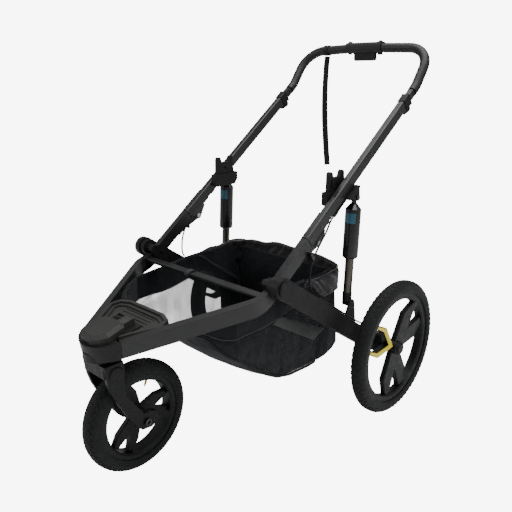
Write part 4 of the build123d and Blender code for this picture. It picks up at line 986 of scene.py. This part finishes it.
class STROLLER_OT_wrist_strap(bpy.types.Operator):
    """Hangs the twisted wrist strap from the handlebar"""

    bl_idname = "stroller.wrist_strap"
    bl_label = "Wrist strap"

    def execute(self, context):
        width = chosen("strap_width")
        line = [(STRAP_X + x, BAR_Y + y, z) for x, y, z in STRAP_FALL]
        layers = tape(line, width, (1, 0, 0), 110, STRAP_LAYER, strap_twist)
        add(layers, tape(line, width, (1, 0, 0), 110, -STRAP_LAYER, strap_twist))
        strap = finished(layers, "wrist_strap_webbing", "handlebar", "strap",
                         replaces=["wrist_strap"], thickness=1.4)
        ring = loop_round(STRAP_X, BAR_Y, STRAP_BAR_Z, STRAP_LOOP_RADIUS, STRAP_LOOP_RADIUS, 41)
        ring = tape(ring, width, (1, 0, 0), 80)
        bmesh.ops.remove_doubles(ring, verts=ring.verts, dist=0.2)
        loop = finished(ring, "wrist_strap_loop", "handlebar", "strap", thickness=1.6)
        return {"FINISHED"}


class STROLLER_OT_stitches(bpy.types.Operator):
    """Lays the seam of raised stitches along the inner side of the leather grips"""

    bl_idname = "stroller.stitches"
    bl_label = "Grip stitches"

    def execute(self, context):
        pitch = chosen("stitch_pitch")
        bm = bmesh.new()
        for sign in SIDES.values():
            for k in range(int(STITCHED_LENGTH / pitch)):
                x = sign * (STITCHED_START + k * pitch)
                z = BAR_Z - BAR_FALL * abs(x) / BAR_HALF
                stitch = block((pitch * 0.55, STITCH_THREAD, STITCH_THREAD), (0, 0, 0), 0.3, 1)
                lean = Matrix.Rotation(math.radians(STITCH_LEAN * sign), 4, "Y")
                spot = Matrix.Translation((x, BAR_Y - SEAM_BACK, z - SEAM_DOWN))
                bmesh.ops.transform(stitch, matrix=spot @ lean, verts=stitch.verts)
                add(bm, stitch)
        finished(bm, "grip_stitches", "handlebar", "stitch")
        return {"FINISHED"}


class STROLLER_PT_panel(bpy.types.Panel):
    """Sidebar panel with the stroller's pieces"""

    bl_label = "Jogging Stroller"
    bl_idname = "STROLLER_PT_panel"
    bl_space_type = "VIEW_3D"
    bl_region_type = "UI"
    bl_category = "Stroller"

    def draw(self, context):
        for name in StrollerFinish.__annotations__:
            self.layout.prop(settings(), name)
        for operator in OPERATORS:
            self.layout.operator(operator.bl_idname)


OPERATORS = (
    STROLLER_OT_stage,
    STROLLER_OT_wrist_strap,
    STROLLER_OT_frame_finish,
    STROLLER_OT_tyres,
    STROLLER_OT_basket,
    STROLLER_OT_stitches,
)
CLASSES = (StrollerFinish, *OPERATORS, STROLLER_PT_panel)


def register():
    for item in CLASSES:
        bpy.utils.register_class(item)
    bpy.types.Scene.stroller_finish = PointerProperty(type=StrollerFinish)


def unregister():
    del bpy.types.Scene.stroller_finish
    for item in reversed(CLASSES):
        bpy.utils.unregister_class(item)


def main():
    register()
    for operator in OPERATORS:
        group, name = operator.bl_idname.split(".")
        getattr(getattr(bpy.ops, group), name)()


if __name__ == "__main__":
    main()
